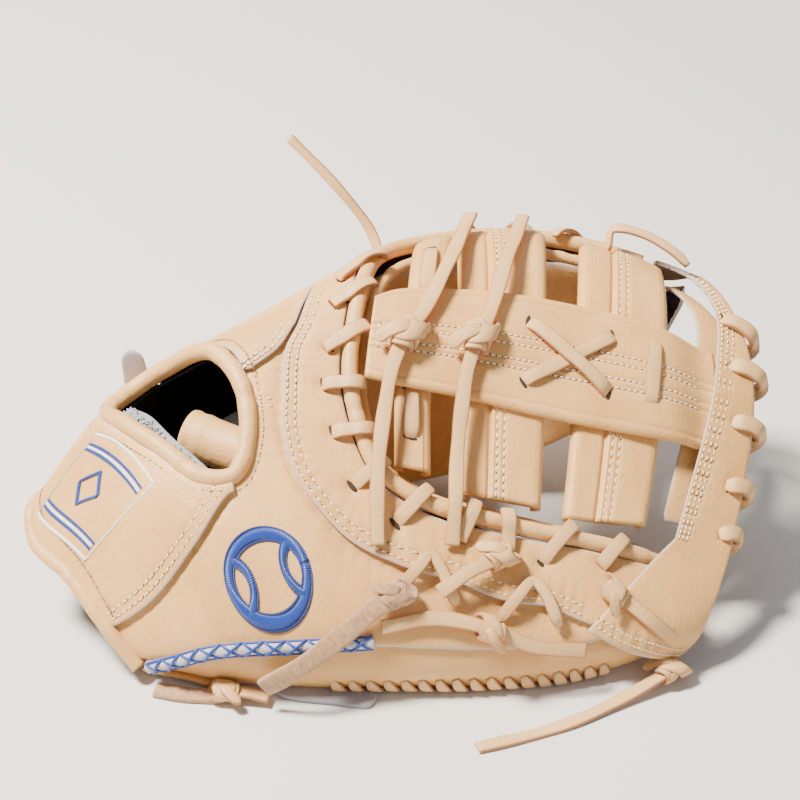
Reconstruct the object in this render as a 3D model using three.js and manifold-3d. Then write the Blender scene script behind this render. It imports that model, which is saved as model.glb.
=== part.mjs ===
import * as THREE from "three";
import { mergeVertices } from "three/addons/utils/BufferGeometryUtils.js";
import Module from "manifold-3d";

// First baseman's mitt, lying like a tent with its pocket down and the back of the hand up.
// The wrist is at -X and the tip at +X, the thumb edge is at -Y and the finger edge at +Y.
// Lengths are in millimetres.

// Driving dimensions
const LENGTH = 336; // wrist corner to tip
const DEPTH = 190; // thumb edge to the far bulge of the fingers
const HEIGHT = 128; // ground to the ridge of the back
const LEATHER = 2; // wall of one piece of shell leather
const PALM_LEATHER = 2.4; // wall of the palm
const LAYER_GAP = 0.8; // between two pieces that lie on each other
const SEAM_GAP = 0.8; // between two edges that meet side by side
const WELT_RADIUS = 3.7; // rolled leather round the web side of the shell
const PALM_WELT_RADIUS = 2.6; // rolled leather round the web side of the palm
const BINDING_RADIUS = 3.4; // rolled leather round the hand hole and the wrist
const EDGE_ROLL_RADIUS = 2.8; // stitched roll along the thumb's heel
const LACE_WIDTH = 6.2;
const LACE_THICKNESS = 1.9;
const LACE_CLEARANCE = 0.35; // between a lace and what it lies on
const HAND_SPACE = 36; // back of the hand to palm, at the knuckles
const POST_WIDTH = 38;
const POST_THICKNESS = 4.2; // two layers sewn together
const BAR_WALL = 2.2;
const BAR_ROLL = 7.6; // height of a bar's rolled sides
const NARROW_BAR_WIDTH = 15;
const MIDDLE_BAR_WIDTH = 36;
const WIDE_BAR_WIDTH = 39;
const FLEECE_THICKNESS = 3.4;
const STALL_RADIUS = 11.5; // finger stall seen in the hand hole
const STALL_LENGTH = 34;
const PULL_TAB_HEIGHT = 24;
const TAB_THICKNESS = 2.2;
const CELL_ALONG = 17; // facets of the shell, wrist to tip
const CELL_ACROSS = 12; // and thumb edge to finger edge

// Rails that the back surface is drawn through, from the wrist (first row) to the tip (last row).
// along, deep and high are shares of LENGTH, DEPTH and HEIGHT.
const RAILS = {
  thumb_edge: [
    { along: 0.164, deep: 0.03, high: 0.05 },
    { along: 0.283, deep: 0, high: 0.01 },
    { along: 0.417, deep: -0.01, high: 0 },
    { along: 0.55, deep: -0.01, high: 0 },
    { along: 0.68, deep: 0, high: 0 },
    { along: 0.785, deep: 0.045, high: 0.02 },
    { along: 0.875, deep: 0.11, high: 0.07 },
  ],
  thumb_side: [
    { along: 0.13, deep: 0.05, high: 0.12 },
    { along: 0.262, deep: -0.035, high: 0.15 },
    { along: 0.4, deep: -0.055, high: 0.155 },
    { along: 0.54, deep: -0.055, high: 0.15 },
    { along: 0.675, deep: -0.03, high: 0.14 },
    { along: 0.8, deep: 0.025, high: 0.14 },
    { along: 0.905, deep: 0.13, high: 0.155 },
  ],
  thumb_top: [
    { along: 0.09, deep: 0.12, high: 0.19 },
    { along: 0.228, deep: 0.075, high: 0.4 },
    { along: 0.37, deep: 0.06, high: 0.43 },
    { along: 0.522, deep: 0.055, high: 0.39 },
    { along: 0.665, deep: 0.07, high: 0.325 },
    { along: 0.8, deep: 0.115, high: 0.285 },
    { along: 0.935, deep: 0.225, high: 0.25 },
  ],
  thumb_crest: [
    { along: 0.05, deep: 0.19, high: 0.245 },
    { along: 0.196, deep: 0.221, high: 0.59 },
    { along: 0.342, deep: 0.242, high: 0.67 },
    { along: 0.506, deep: 0.242, high: 0.61 },
    { along: 0.652, deep: 0.242, high: 0.515 },
    { along: 0.795, deep: 0.253, high: 0.43 },
    { along: 0.957, deep: 0.345, high: 0.35 },
  ],
  web_middle: [
    { along: 0.004, deep: 0.274, high: 0.28 },
    { along: 0.149, deep: 0.379, high: 0.7 },
    { along: 0.312, deep: 0.453, high: 0.875 },
    { along: 0.476, deep: 0.484, high: 0.885 },
    { along: 0.631, deep: 0.505, high: 0.83 },
    { along: 0.785, deep: 0.516, high: 0.742 },
    { along: 0.988, deep: 0.558, high: 0.6 },
  ],
  ridge: [
    { along: 0.024, deep: 0.379, high: 0.36 },
    { along: 0.125, deep: 0.484, high: 0.675 },
    { along: 0.286, deep: 0.632, high: 0.84 },
    { along: 0.452, deep: 0.789, high: 0.97 },
    { along: 0.619, deep: 0.895, high: 1 },
    { along: 0.778, deep: 0.9, high: 0.93 },
    { along: 0.958, deep: 0.789, high: 0.775 },
  ],
  finger_side: [
    { along: 0.048, deep: 0.463, high: 0.27 },
    { along: 0.155, deep: 0.642, high: 0.53 },
    { along: 0.304, deep: 0.832, high: 0.56 },
    { along: 0.452, deep: 0.958, high: 0.55 },
    { along: 0.613, deep: 1, high: 0.59 },
    { along: 0.768, deep: 0.99, high: 0.625 },
    { along: 0.925, deep: 0.905, high: 0.76 },
  ],
  finger_edge: [
    { along: 0.071, deep: 0.505, high: 0.2 },
    { along: 0.179, deep: 0.674, high: 0.05 },
    { along: 0.315, deep: 0.768, high: 0 },
    { along: 0.446, deep: 0.8, high: 0 },
    { along: 0.595, deep: 0.79, high: 0.1 },
    { along: 0.744, deep: 0.8, high: 0.266 },
    { along: 0.908, deep: 0.874, high: 0.578 },
  ],
};
// Where the stations lie along the mitt and the rails lie across it, as shares of the way.
const STATION_AT = [0, 0.15, 0.3, 0.46, 0.62, 0.78, 1];
const RAIL_AT = [0, 0.075, 0.16, 0.27, 0.43, 0.65, 0.82, 1];

// Weights of a natural cubic spline through values at the given knots.
function splineWeights(knots, at) {
  const n = knots.length;
  const step = knots.slice(1).map((k, i) => k - knots[i]);
  let seg = 0;
  while (seg < n - 2 && at > knots[seg + 1]) seg += 1;
  const near = (at - knots[seg]) / step[seg];
  const far = 1 - near;
  const bend = bendRows(knots);
  const scale = (step[seg] * step[seg]) / 6;
  return knots.map(
    (_, i) =>
      (i === seg ? far : 0) +
      (i === seg + 1 ? near : 0) +
      scale * ((far ** 3 - far) * bend[seg][i] + (near ** 3 - near) * bend[seg + 1][i]),
  );
}

// Second derivatives at each knot, as rows of weights on the values.
const bendCache = new Map();
function bendRows(knots) {
  if (bendCache.has(knots)) return bendCache.get(knots);
  const n = knots.length;
  const diagonal = new Array(n).fill(1);
  const upper = new Array(n).fill(0);
  const lower = new Array(n).fill(0);
  const rows = knots.map(() => new Array(n).fill(0));
  for (let i = 1; i < n - 1; i += 1) {
    const before = knots[i] - knots[i - 1];
    const after = knots[i + 1] - knots[i];
    lower[i] = before / 6;
    diagonal[i] = (before + after) / 3;
    upper[i] = after / 6;
    rows[i][i - 1] = 1 / before;
    rows[i][i] = -1 / before - 1 / after;
    rows[i][i + 1] = 1 / after;
  }
  for (let i = 1; i < n; i += 1) {
    const share = lower[i] / diagonal[i - 1];
    diagonal[i] -= share * upper[i - 1];
    rows[i] = rows[i].map((w, j) => w - share * rows[i - 1][j]);
  }
  for (let i = n - 1; i >= 0; i -= 1) {
    const next = i < n - 1 ? rows[i + 1] : null;
    rows[i] = rows[i].map((w, j) => (w - (next ? upper[i] * next[j] : 0)) / diagonal[i]);
  }
  bendCache.set(knots, rows);
  return rows;
}

// A point of the back surface. u runs from wrist to tip and v from thumb edge to finger edge.
const railRows = Object.values(RAILS);
function surface(u, v) {
  const alongWeights = splineWeights(STATION_AT, u);
  const acrossWeights = splineWeights(RAIL_AT, v);
  const point = new THREE.Vector3();
  railRows.forEach((rail, j) =>
    rail.forEach((row, i) => {
      const w = alongWeights[i] * acrossWeights[j];
      point.x += w * row.along * LENGTH;
      point.y += w * row.deep * DEPTH;
      point.z += w * row.high * HEIGHT;
    }),
  );
  return point;
}

// Outward normal of a surface at (u, v).
function normalOf(place, u, v) {
  const small = 1e-3;
  const along = place(u + small, v).sub(place(u - small, v));
  const across = place(u, v + small).sub(place(u, v - small));
  return along.cross(across).normalize();
}

// A point above the back surface: the share along, the share across and the lift in millimetres.
function on(along, across, lift = 0) {
  return surface(along, across).addScaledVector(normalOf(surface, along, across), lift);
}

// How the palm goes: up the outside of the thumb, round its edge, through the pocket
// and out round the finger edge. depth is a share of the room for the hand.
const PALM_FOLDS = [
  { fold: 0.0, across: 0.1, depth: 0 },
  { fold: 0.05, across: 0.048, depth: 0 },
  { fold: 0.1, across: 0.006, depth: 0.08 },
  { fold: 0.15, across: 0.006, depth: 0.6 },
  { fold: 0.2, across: 0.045, depth: 0.96 },
  { fold: 0.3, across: 0.17, depth: 1 },
  { fold: 0.4, across: 0.31, depth: 1 },
  { fold: 0.5, across: 0.46, depth: 1 },
  { fold: 0.6, across: 0.62, depth: 1 },
  { fold: 0.7, across: 0.78, depth: 1 },
  { fold: 0.8, across: 0.945, depth: 0.96 },
  { fold: 0.85, across: 0.99, depth: 0.6 },
  { fold: 0.9, across: 0.99, depth: 0.08 },
  { fold: 0.95, across: 0.955, depth: 0 },
  { fold: 1.0, across: 0.91, depth: 0 },
];
// Room for the hand between back and palm, from wrist to tip, as shares of HAND_SPACE.
const HAND_ROOM = [
  { along: 0, room: 0.8 },
  { along: 0.2, room: 1 },
  { along: 0.4, room: 0.8 },
  { along: 0.6, room: 0.6 },
  { along: 0.8, room: 0.42 },
  { along: 1, room: 0.2 },
];
const WEB_NOTCH = { along: 0.405, low: 0.345, high: 0.65 }; // where the palm gives way to the web
const NOTCH_ROUNDING = 28; // over this length the palm curves up to the web
const NOTCH_DEPTH = 0.24; // share of the hand's room that is left at the web

const FOLD_AT = PALM_FOLDS.map((row) => row.fold);
const ROOM_AT = HAND_ROOM.map((row) => row.along);
const FLAT_LENGTH = 0.9 * LENGTH; // the shell laid flat, wrist to tip
const FLAT_WIDTH = 0.9 * (DEPTH + HEIGHT); // and thumb edge to finger edge

function blend(table, column, weights) {
  return table.reduce((sum, row, i) => sum + weights[i] * row[column], 0);
}

// A point of the palm's outer face.
function palmFace(u, fold) {
  const weights = splineWeights(FOLD_AT, fold);
  const across = blend(PALM_FOLDS, "across", weights);
  const aside = Math.max(WEB_NOTCH.along - u, 0) * FLAT_LENGTH;
  const beyond = Math.max(WEB_NOTCH.low - fold, fold - WEB_NOTCH.high, 0) * FLAT_WIDTH;
  const inset = 1 - Math.min(Math.hypot(aside, beyond) / NOTCH_ROUNDING, 1);
  const rounding = NOTCH_DEPTH + (1 - NOTCH_DEPTH) * Math.sqrt(1 - inset * inset);
  const room = HAND_SPACE * blend(HAND_ROOM, "room", splineWeights(ROOM_AT, u));
  const depth = room * rounding * Math.max(blend(PALM_FOLDS, "depth", weights), 0);
  const middle = surface(u, 0.02).lerp(surface(u, 0.98), 0.5);
  middle.z += 0.12 * HEIGHT;
  const back = surface(u, across);
  return back.addScaledVector(middle.sub(back).normalize(), depth);
}

// A point inside the palm's outer face by the lift in millimetres.
function onPalm(u, fold, lift = 0) {
  return palmFace(u, fold).addScaledVector(normalOf(palmFace, u, fold), lift);
}

const wasm = await Module();
wasm.setup();

// A closed mesh as a solid that can be cut and joined.
function solidOf(geometry) {
  const bare = geometry.clone();
  bare.deleteAttribute("normal");
  bare.deleteAttribute("uv");
  const merged = mergeVertices(bare, 1e-3);
  return new wasm.Manifold(
    new wasm.Mesh({
      numProp: 3,
      vertProperties: new Float32Array(merged.attributes.position.array),
      triVerts: new Uint32Array(merged.index.array),
    }),
  );
}

function geometryOf(solid) {
  const mesh = solid.getMesh();
  const geometry = new THREE.BufferGeometry();
  geometry.setAttribute("position", new THREE.BufferAttribute(new Float32Array(mesh.vertProperties), 3));
  geometry.setIndex(Array.from(mesh.triVerts));
  return geometry;
}

// Moves each vertex of a geometry, and turns it right side out if the move turned it over.
function form(geometry, move) {
  const bare = geometry.clone();
  bare.deleteAttribute("normal");
  bare.deleteAttribute("uv");
  const formed = mergeVertices(bare, 1e-4);
  const position = formed.attributes.position;
  for (let i = 0; i < position.count; i += 1) {
    const point = move(new THREE.Vector3().fromBufferAttribute(position, i));
    position.setXYZ(i, point.x, point.y, point.z);
  }
  if (volumeOf(formed) < 0) {
    formed.setIndex(Array.from(formed.index.array).reverse());
  }
  return formed;
}

function volumeOf(geometry) {
  const corner = [0, 1, 2].map(() => new THREE.Vector3());
  const index = geometry.index.array;
  let volume = 0;
  for (let i = 0; i < index.length; i += 3) {
    corner.forEach((c, k) => c.fromBufferAttribute(geometry.attributes.position, index[i + k]));
    volume += corner[0].dot(corner[1].clone().cross(corner[2])) / 6;
  }
  return volume;
}

// A flat outline from runs of points. Each run is a smooth line and runs meet at corners.
function outlineOf(runs) {
  const points = [];
  runs.forEach((run) => {
    const knots = run.map(([u, v]) => new THREE.Vector3(u * FLAT_LENGTH, v * FLAT_WIDTH, 0));
    const curve = new THREE.CatmullRomCurve3(knots, false, "centripetal");
    const steps = run.length === 2 ? 1 : Math.max(2, Math.round(curve.getLength() / CELL_ACROSS));
    curve.getPoints(steps).forEach((p) => {
      const last = points[points.length - 1];
      if (!last || last.distanceTo(new THREE.Vector2(p.x, p.y)) > 0.05) {
        points.push(new THREE.Vector2(p.x, p.y));
      }
    });
  });
  if (points[0].distanceTo(points[points.length - 1]) < 0.05) points.pop();
  return points;
}

// A straight-sided block of a flat outline, tall enough to cut the domed sheet.
function blockOf(runs) {
  const depth = 0.6 * LENGTH;
  const block = new THREE.ExtrudeGeometry(new THREE.Shape(outlineOf(runs)), { depth, bevelEnabled: false });
  block.translate(0, 0, -depth / 4);
  return solidOf(block);
}

// One piece of leather: cut flat, with its holes, then formed onto the mitt between two lifts.
const DOME = 1 / 2400; // the flat sheet is cut slightly domed, so that its facets stay
function leatherPiece(runs, holes, lift, wall, place = on, coarse = 1) {
  const dome = (x, y) => DOME * (x * x + y * y);
  const cutter = holes.reduce((block, hole) => block.subtract(blockOf(hole)), blockOf(runs));
  const columns = Math.round((1.1 * FLAT_LENGTH) / (coarse * CELL_ALONG));
  const rows = Math.round((1.1 * FLAT_WIDTH) / (coarse * CELL_ACROSS));
  const sheet = new THREE.BoxGeometry(1.1 * FLAT_LENGTH, 1.1 * FLAT_WIDTH, wall, columns, rows, 1);
  sheet.translate(FLAT_LENGTH / 2, FLAT_WIDTH / 2, 0);
  const domed = form(sheet, (p) => p.setZ(p.z + dome(p.x, p.y)));
  const cut = geometryOf(solidOf(domed).intersect(cutter));
  return form(cut, (p) => {
    const outer = p.z - dome(p.x, p.y) > 0;
    return place(p.x / FLAT_LENGTH, p.y / FLAT_WIDTH, lift + (outer ? wall : 0));
  });
}

// A smooth line through rows of [along, across, lift].
function lineOn(rows, closed = false, place = on) {
  return new THREE.CatmullRomCurve3(rows.map((row) => place(...row)), closed, "centripetal");
}

// A round roll of leather along a line.
function roll(line, radius, steps, sides = 8) {
  if (line.closed) return new THREE.TubeGeometry(line, steps, radius, sides, true);
  const section = new THREE.Shape().absarc(0, 0, radius, 0, 2 * Math.PI);
  const ring = new THREE.Shape(section.getSpacedPoints(sides).slice(0, sides));
  return new THREE.ExtrudeGeometry(ring, { steps, bevelEnabled: false, extrudePath: line });
}

// A flat lace along points, with its broad side facing the given normals.
function strip(points, normals, width = LACE_WIDTH, thickness = LACE_THICKNESS, steps = 0) {
  const curve = new THREE.CatmullRomCurve3(points, false, "centripetal");
  const facing = new THREE.CatmullRomCurve3(normals, false, "centripetal");
  const count = steps || Math.max(3, Math.round(curve.getLength() / 8.5));
  const bar = new THREE.BoxGeometry(width, thickness, 1, 1, 1, count);
  bar.translate(0, 0, 0.5);
  return form(bar, (p) => {
    const along = Math.min(Math.max(p.z, 0), 1);
    const tangent = curve.getTangent(along);
    const side = tangent.clone().cross(facing.getPoint(along)).normalize();
    const up = side.clone().cross(tangent).normalize();
    return curve.getPoint(along).addScaledVector(side, p.x).addScaledVector(up, p.y);
  });
}

// A lace that lies on the shell, through rows of [along, across, lift].
function laceOn(rows, width, thickness, steps) {
  const points = rows.map((row) => on(...row));
  const normals = rows.map(([u, v]) => normalOf(surface, u, v));
  return strip(points, normals, width, thickness, steps);
}

const mitt = new THREE.Group();
const LEATHER_LOOK = { color: 0xe2c397, roughness: 0.55, metalness: 0 };
const LACE_LOOK = { color: 0xe0c6a8, roughness: 0.65, metalness: 0 };
const EDGE_LOOK = { color: 0xddb780, roughness: 0.5, metalness: 0 };
const SUEDE_LOOK = { color: 0xa9a6ad, roughness: 0.95, metalness: 0 };
const ROUGH_LOOK = { color: 0xb98a5c, roughness: 0.95, metalness: 0 };
const ROLL_LOOK = { color: 0xb9bcc6, roughness: 0.9, metalness: 0 };

function add(name, geometry, look) {
  const mesh = new THREE.Mesh(geometry, new THREE.MeshStandardMaterial(look));
  mesh.name = name;
  mitt.add(mesh);
}

// Lifts of the layers above the back surface
const BACK_LIFT = 0;
const OVER_LIFT = BACK_LIFT + LEATHER + LAYER_GAP;
const CROWN_LIFT = OVER_LIFT + LEATHER + 1.3 * LAYER_GAP;
const BAR_FACE = OVER_LIFT + LEATHER - 0.6;
const POST_LIFT = BAR_FACE + 1.1;
const LACE_SEAT = LACE_THICKNESS / 2 + LACE_CLEARANCE;
const ON_BACK = BACK_LIFT + LEATHER + LACE_SEAT;
const ON_OVER = OVER_LIFT + LEATHER + LACE_SEAT;
const ON_CROWN = CROWN_LIFT + LEATHER + LACE_SEAT;
const ON_POST = POST_LIFT + POST_THICKNESS + LACE_SEAT;
const ON_BAR = BAR_FACE + LACE_SEAT;
const LACE_PILE = LACE_THICKNESS + LACE_CLEARANCE; // one lace over another
const WELT_LIFT = OVER_LIFT + LEATHER / 2;
const BACKING_LIFT = -3.6; // the crown's backing hangs inside the back surface
const PALM_WELT_LIFT = -4.6; // and so does the palm's welt
const PALM_WELT_ASIDE = 4.8; // which lies this far into the web from the shell's welt
const LACE_ARCH = WELT_RADIUS + LACE_SEAT + 1.1; // radius of a lace's way over the welt

// Lines of the pattern, as [along, across] shares
const HAND_HOLE = [
  [0.14, 0.63], [0.146, 0.45], [0.165, 0.34], [0.2, 0.268], [0.24, 0.262], [0.268, 0.31],
  [0.276, 0.4], [0.262, 0.545], [0.208, 0.675], [0.16, 0.7],
];
const STRAP_SEAM = [[0.226, 0.235], [0.175, 0.19], [0.11, 0.15], [0.03, 0.122]];
const RIDGE_SEAM = [[0.286, 0.418], [0.33, 0.455], [0.362, 0.51]];
const FACING_SEAM = [
  [0.39, 0.6], [0.362, 0.51], [0.335, 0.45], [0.318, 0.37], [0.31, 0.315], [0.318, 0.255],
  [0.365, 0.195], [0.435, 0.17], [0.515, 0.16], [0.585, 0.145], [0.645, 0.14], [0.695, 0.122],
];
const WELT_LINE = [
  [0.84, 0.2], [0.775, 0.22], [0.71, 0.232], [0.64, 0.236], [0.565, 0.24], [0.51, 0.242],
  [0.46, 0.255], [0.425, 0.28], [0.411, 0.33], [0.411, 0.395], [0.43, 0.475], [0.455, 0.56],
  [0.485, 0.635], [0.54, 0.672], [0.62, 0.682], [0.7, 0.684], [0.78, 0.686], [0.85, 0.69],
];
const CROWN_INNER = [
  [0.862, 0.235], [0.872, 0.27], [0.89, 0.325], [0.908, 0.38], [0.922, 0.43], [0.932, 0.49],
  [0.941, 0.54], [0.943, 0.59], [0.934, 0.64], [0.905, 0.68], [0.87, 0.695],
];

// A line moved to its left by a distance in millimetres of the flat pattern.
function moved(line, distance, closed = false) {
  const last = line.length - 1;
  return line.map(([u, v], i) => {
    const before = i > 0 || !closed ? line[Math.max(i - 1, 0)] : line[last];
    const after = i < last || !closed ? line[Math.min(i + 1, last)] : line[0];
    const run = new THREE.Vector2((after[0] - before[0]) * FLAT_LENGTH, (after[1] - before[1]) * FLAT_WIDTH);
    run.normalize();
    return [u - (run.y * distance) / FLAT_LENGTH, v + (run.x * distance) / FLAT_WIDTH];
  });
}
const closedRun = (line) => [[...line, line[0]]];
// Where the shell ends round the hand hole
const HOLE_EDGE = moved(HAND_HOLE, -(BINDING_RADIUS + 1.9 * SEAM_GAP), true);
const holeRun = closedRun(HOLE_EDGE);
const UNDERLAP = 11; // how far the back runs on under the pieces sewn over it

// Shell
function buildShell() {
  const underFacing = moved(FACING_SEAM, UNDERLAP);
  const backOutline = [
    [[0.025, 0.115], [0.025, 0.052]],
    [
      [0.025, 0.052], [0.09, 0.085], [0.16, 0.104], [0.275, 0.111], [0.385, 0.116], [0.41, 0.108],
      [0.52, 0.107], [0.695, 0.104],
    ],
    [[0.695, 0.104], underFacing[underFacing.length - 1]],
    [...underFacing].reverse(),
    [underFacing[0], [0.34, 0.6]],
    [[0.34, 0.6], [0.3, 0.5], [0.25, 0.56]],
    [[0.25, 0.56], [0.2, 0.45], [0.2, 0.3], [0.19, 0.2]],
    [[0.19, 0.2], [0.13, 0.19], [0.025, 0.16], [0.025, 0.115]],
  ];
  add("hand_back", leatherPiece(backOutline, [holeRun], BACK_LIFT, LEATHER), LEATHER_LOOK);

  const strapOutline = [
    [[0.03, 0.122], ...[...STRAP_SEAM].reverse().slice(1), [0.238, 0.24]],
    [[0.238, 0.24], HOLE_EDGE[3], HOLE_EDGE[2], HOLE_EDGE[1], HOLE_EDGE[0], HOLE_EDGE[9]],
    [HOLE_EDGE[9], [0.166, 0.76], [0.16, 0.86], [0.13, 0.95]],
    [[0.13, 0.95], [0.03, 0.95]],
    [[0.03, 0.95], [0.03, 0.122]],
  ];
  add("wrist_strap", leatherPiece(strapOutline, [holeRun], OVER_LIFT, LEATHER), LEATHER_LOOK);
}
buildShell();

// Finger side, web facing and crown
function buildOverlays() {
  const fingerOutline = [
    RIDGE_SEAM,
    [RIDGE_SEAM[2], [0.385, 0.58], [0.41, 0.66]],
    [[0.41, 0.66], [0.47, 0.74], [0.56, 0.765], [0.7, 0.775], [0.85, 0.785], [0.955, 0.79]],
    [[0.955, 0.79], [0.965, 0.86], [0.93, 0.955]],
    [[0.93, 0.955], [0.6, 0.96], [0.3, 0.955], [0.145, 0.95]],
    [[0.145, 0.95], [0.176, 0.86], [0.182, 0.76], HOLE_EDGE[9]],
    [HOLE_EDGE[9], HOLE_EDGE[8], HOLE_EDGE[7]],
    [HOLE_EDGE[7], [0.286, 0.48], RIDGE_SEAM[0]],
  ];
  add("finger_panel", leatherPiece(fingerOutline, [holeRun], OVER_LIFT, LEATHER), LEATHER_LOOK);

  const weltSide = moved(WELT_LINE, WELT_RADIUS + SEAM_GAP);
  const seam = moved(FACING_SEAM, SEAM_GAP);
  const facingOutline = [
    seam,
    [seam[seam.length - 1], [0.76, 0.1], [0.85, 0.06]],
    [[0.85, 0.06], [0.9, 0.13], weltSide[0]],
    weltSide,
    [weltSide[weltSide.length - 1], [0.87, 0.765]],
    [[0.87, 0.765], [0.7, 0.757], [0.56, 0.745], [0.48, 0.722], [0.425, 0.66], seam[0]],
  ];
  add("web_facing", leatherPiece(facingOutline, [], OVER_LIFT, LEATHER), LEATHER_LOOK);

  const crownOutline = [
    [[0.7, 0.112], [0.78, 0.165], CROWN_INNER[0]],
    CROWN_INNER,
    [CROWN_INNER[10], [0.872, 0.73], [0.885, 0.78]],
    [[0.885, 0.78], [0.94, 0.775], [0.965, 0.74]],
    [[0.965, 0.74], [0.978, 0.64], [0.984, 0.54], [0.986, 0.42], [0.986, 0.3], [0.985, 0.19], [0.98, 0.12]],
    [[0.98, 0.12], [0.955, 0.06], [0.915, 0.03]],
    [[0.915, 0.03], [0.84, 0.055], [0.76, 0.082], [0.7, 0.112]],
  ];
  add("web_crown", leatherPiece(crownOutline, [], CROWN_LIFT, LEATHER), LEATHER_LOOK);

  const backingInner = moved(CROWN_INNER, 6).slice(1, 10);
  const backingOutline = [
    backingInner,
    [backingInner[8], [0.935, 0.72]],
    [[0.935, 0.72], [0.972, 0.6], [0.98, 0.45], [0.98, 0.3], [0.95, 0.25]],
    [[0.95, 0.25], backingInner[0]],
  ];
  add("crown_backing", leatherPiece(backingOutline, [], BACKING_LIFT, LEATHER), EDGE_LOOK);
}
buildOverlays();

// Palm: the heel under the hand, and the two sides of the pocket that are sewn to it
const HEEL_SEAM = 0.33;
const THUMB_RIM = -0.002; // share of the fold at which the palm meets the back along the thumb
function buildPalm() {
  const low = WEB_NOTCH.low;
  const high = WEB_NOTCH.high;
  const start = WEB_NOTCH.along;
  const heelEnd = HEEL_SEAM - SEAM_GAP / 2 / FLAT_LENGTH;
  const sideStart = HEEL_SEAM + SEAM_GAP / 2 / FLAT_LENGTH;
  const thumbEnd = 0.5 - SEAM_GAP / 2 / FLAT_WIDTH;
  const fingerStart = 0.5 + SEAM_GAP / 2 / FLAT_WIDTH;
  const outlines = {
    palm_heel: [
      [[0.03, 0.07], [0.09, 0.026], [0.16, 0.006], [0.275, 0], [heelEnd, THUMB_RIM]],
      [[heelEnd, THUMB_RIM], [heelEnd, 0.99]],
      [[heelEnd, 0.99], [0.3, 0.99], [0.06, 0.985]],
      [[0.06, 0.985], [0.03, 0.8], [0.015, 0.5], [0.02, 0.2], [0.03, 0.07]],
    ],
    pocket_thumb_side: [
      [[sideStart, THUMB_RIM], [0.5, THUMB_RIM], [0.695, THUMB_RIM], [0.8, 0.018], [0.9, 0.04]],
      [[0.9, 0.04], [0.935, 0.12], [0.925, 0.2], [0.87, 0.29], [0.8, low]],
      [[0.8, low], [0.6, low], [0.46, low + 0.01]],
      [[0.46, low + 0.01], [start + 0.01, low + 0.05], [start, thumbEnd]],
      [[start, thumbEnd], [sideStart, thumbEnd]],
      [[sideStart, thumbEnd], [sideStart, THUMB_RIM]],
    ],
    pocket_finger_side: [
      [[sideStart, fingerStart], [start, fingerStart]],
      [[start, fingerStart], [start + 0.01, high - 0.05], [0.46, high - 0.01]],
      [[0.46, high - 0.01], [0.6, high], [0.8, high]],
      [[0.8, high], [0.87, 0.7], [0.925, 0.78], [0.93, 0.87], [0.9, 0.975]],
      [[0.9, 0.975], [0.6, 0.99], [sideStart, 0.99]],
      [[sideStart, 0.99], [sideStart, fingerStart]],
    ],
  };
  Object.entries(outlines).forEach(([name, outline]) => {
    add(name, leatherPiece(outline, [], 0, PALM_LEATHER, onPalm, 1.3), LEATHER_LOOK);
  });
}
buildPalm();

// Rolled edges
function buildRolls() {
  const weltRows = WELT_LINE.map(([u, v], i) => [u, v, i === 0 ? 0.6 : WELT_LIFT]);
  add("web_welt", roll(lineOn(weltRows), WELT_RADIUS, 34, 6), EDGE_LOOK);
  const holeRows = HAND_HOLE.map(([u, v]) => [u, v, BACK_LIFT + LEATHER]);
  add("hand_hole_binding", roll(lineOn(holeRows, true), BINDING_RADIUS, 22, 6), EDGE_LOOK);
  const wristRows = [0.03, 0.13, 0.25, 0.4, 0.55, 0.7, 0.84, 0.95].map((v) => [0.013, v, OVER_LIFT + 1]);
  add("wrist_binding", roll(lineOn(wristRows), BINDING_RADIUS, 12, 6), EDGE_LOOK);
  const edgeRows = [[0.034, 0.041], [0.09, 0.072], [0.16, 0.091], [0.275, 0.098], [0.385, 0.104]];
  const edgeLine = lineOn(edgeRows.map(([u, v]) => [u, v, EDGE_ROLL_RADIUS + LACE_CLEARANCE]));
  add("thumb_edge_roll", roll(edgeLine, EDGE_ROLL_RADIUS, 10, 6), ROLL_LOOK);
  const innerRows = moved(WELT_LINE, -PALM_WELT_ASIDE).slice(2, 17).map(([u, v]) => [u, v, PALM_WELT_LIFT]);
  add("palm_welt", roll(lineOn(innerRows), PALM_WELT_RADIUS, 22, 5), EDGE_LOOK);
}
buildRolls();

// Web: post across, bars from edge to edge
const UNDER_CROWN = CROWN_LIFT - POST_THICKNESS - LAYER_GAP;
const POST_LINE = [
  { along: 0.455, across: 0.4525, lift: POST_LIFT, width: 0.9 },
  { along: 0.48, across: 0.452, lift: POST_LIFT, width: 1 },
  { along: 0.55, across: 0.4475, lift: POST_LIFT, width: 1 },
  { along: 0.64, across: 0.4425, lift: POST_LIFT, width: 1 },
  { along: 0.75, across: 0.44, lift: POST_LIFT, width: 1 },
  { along: 0.86, across: 0.435, lift: POST_LIFT, width: 1 },
  { along: 0.91, across: 0.431, lift: UNDER_CROWN, width: 1 },
  { along: 0.93, across: 0.43, lift: UNDER_CROWN, width: 1 },
];
const POST_END_SLANT = 0.036; // the post's wrist end leans along the welt
const BARS = {
  web_bar_narrow: {
    width: NARROW_BAR_WIDTH,
    line: [[0.474, 0.285], [0.493, 0.38], [0.53, 0.51], [0.552, 0.645]],
  },
  web_bar_middle: {
    width: MIDDLE_BAR_WIDTH,
    line: [[0.597, 0.268], [0.621, 0.39], [0.634, 0.5], [0.642, 0.655]],
  },
  web_bar_wide: {
    width: WIDE_BAR_WIDTH,
    line: [[0.752, 0.262], [0.782, 0.38], [0.8, 0.49], [0.815, 0.65]],
  },
};

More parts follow.
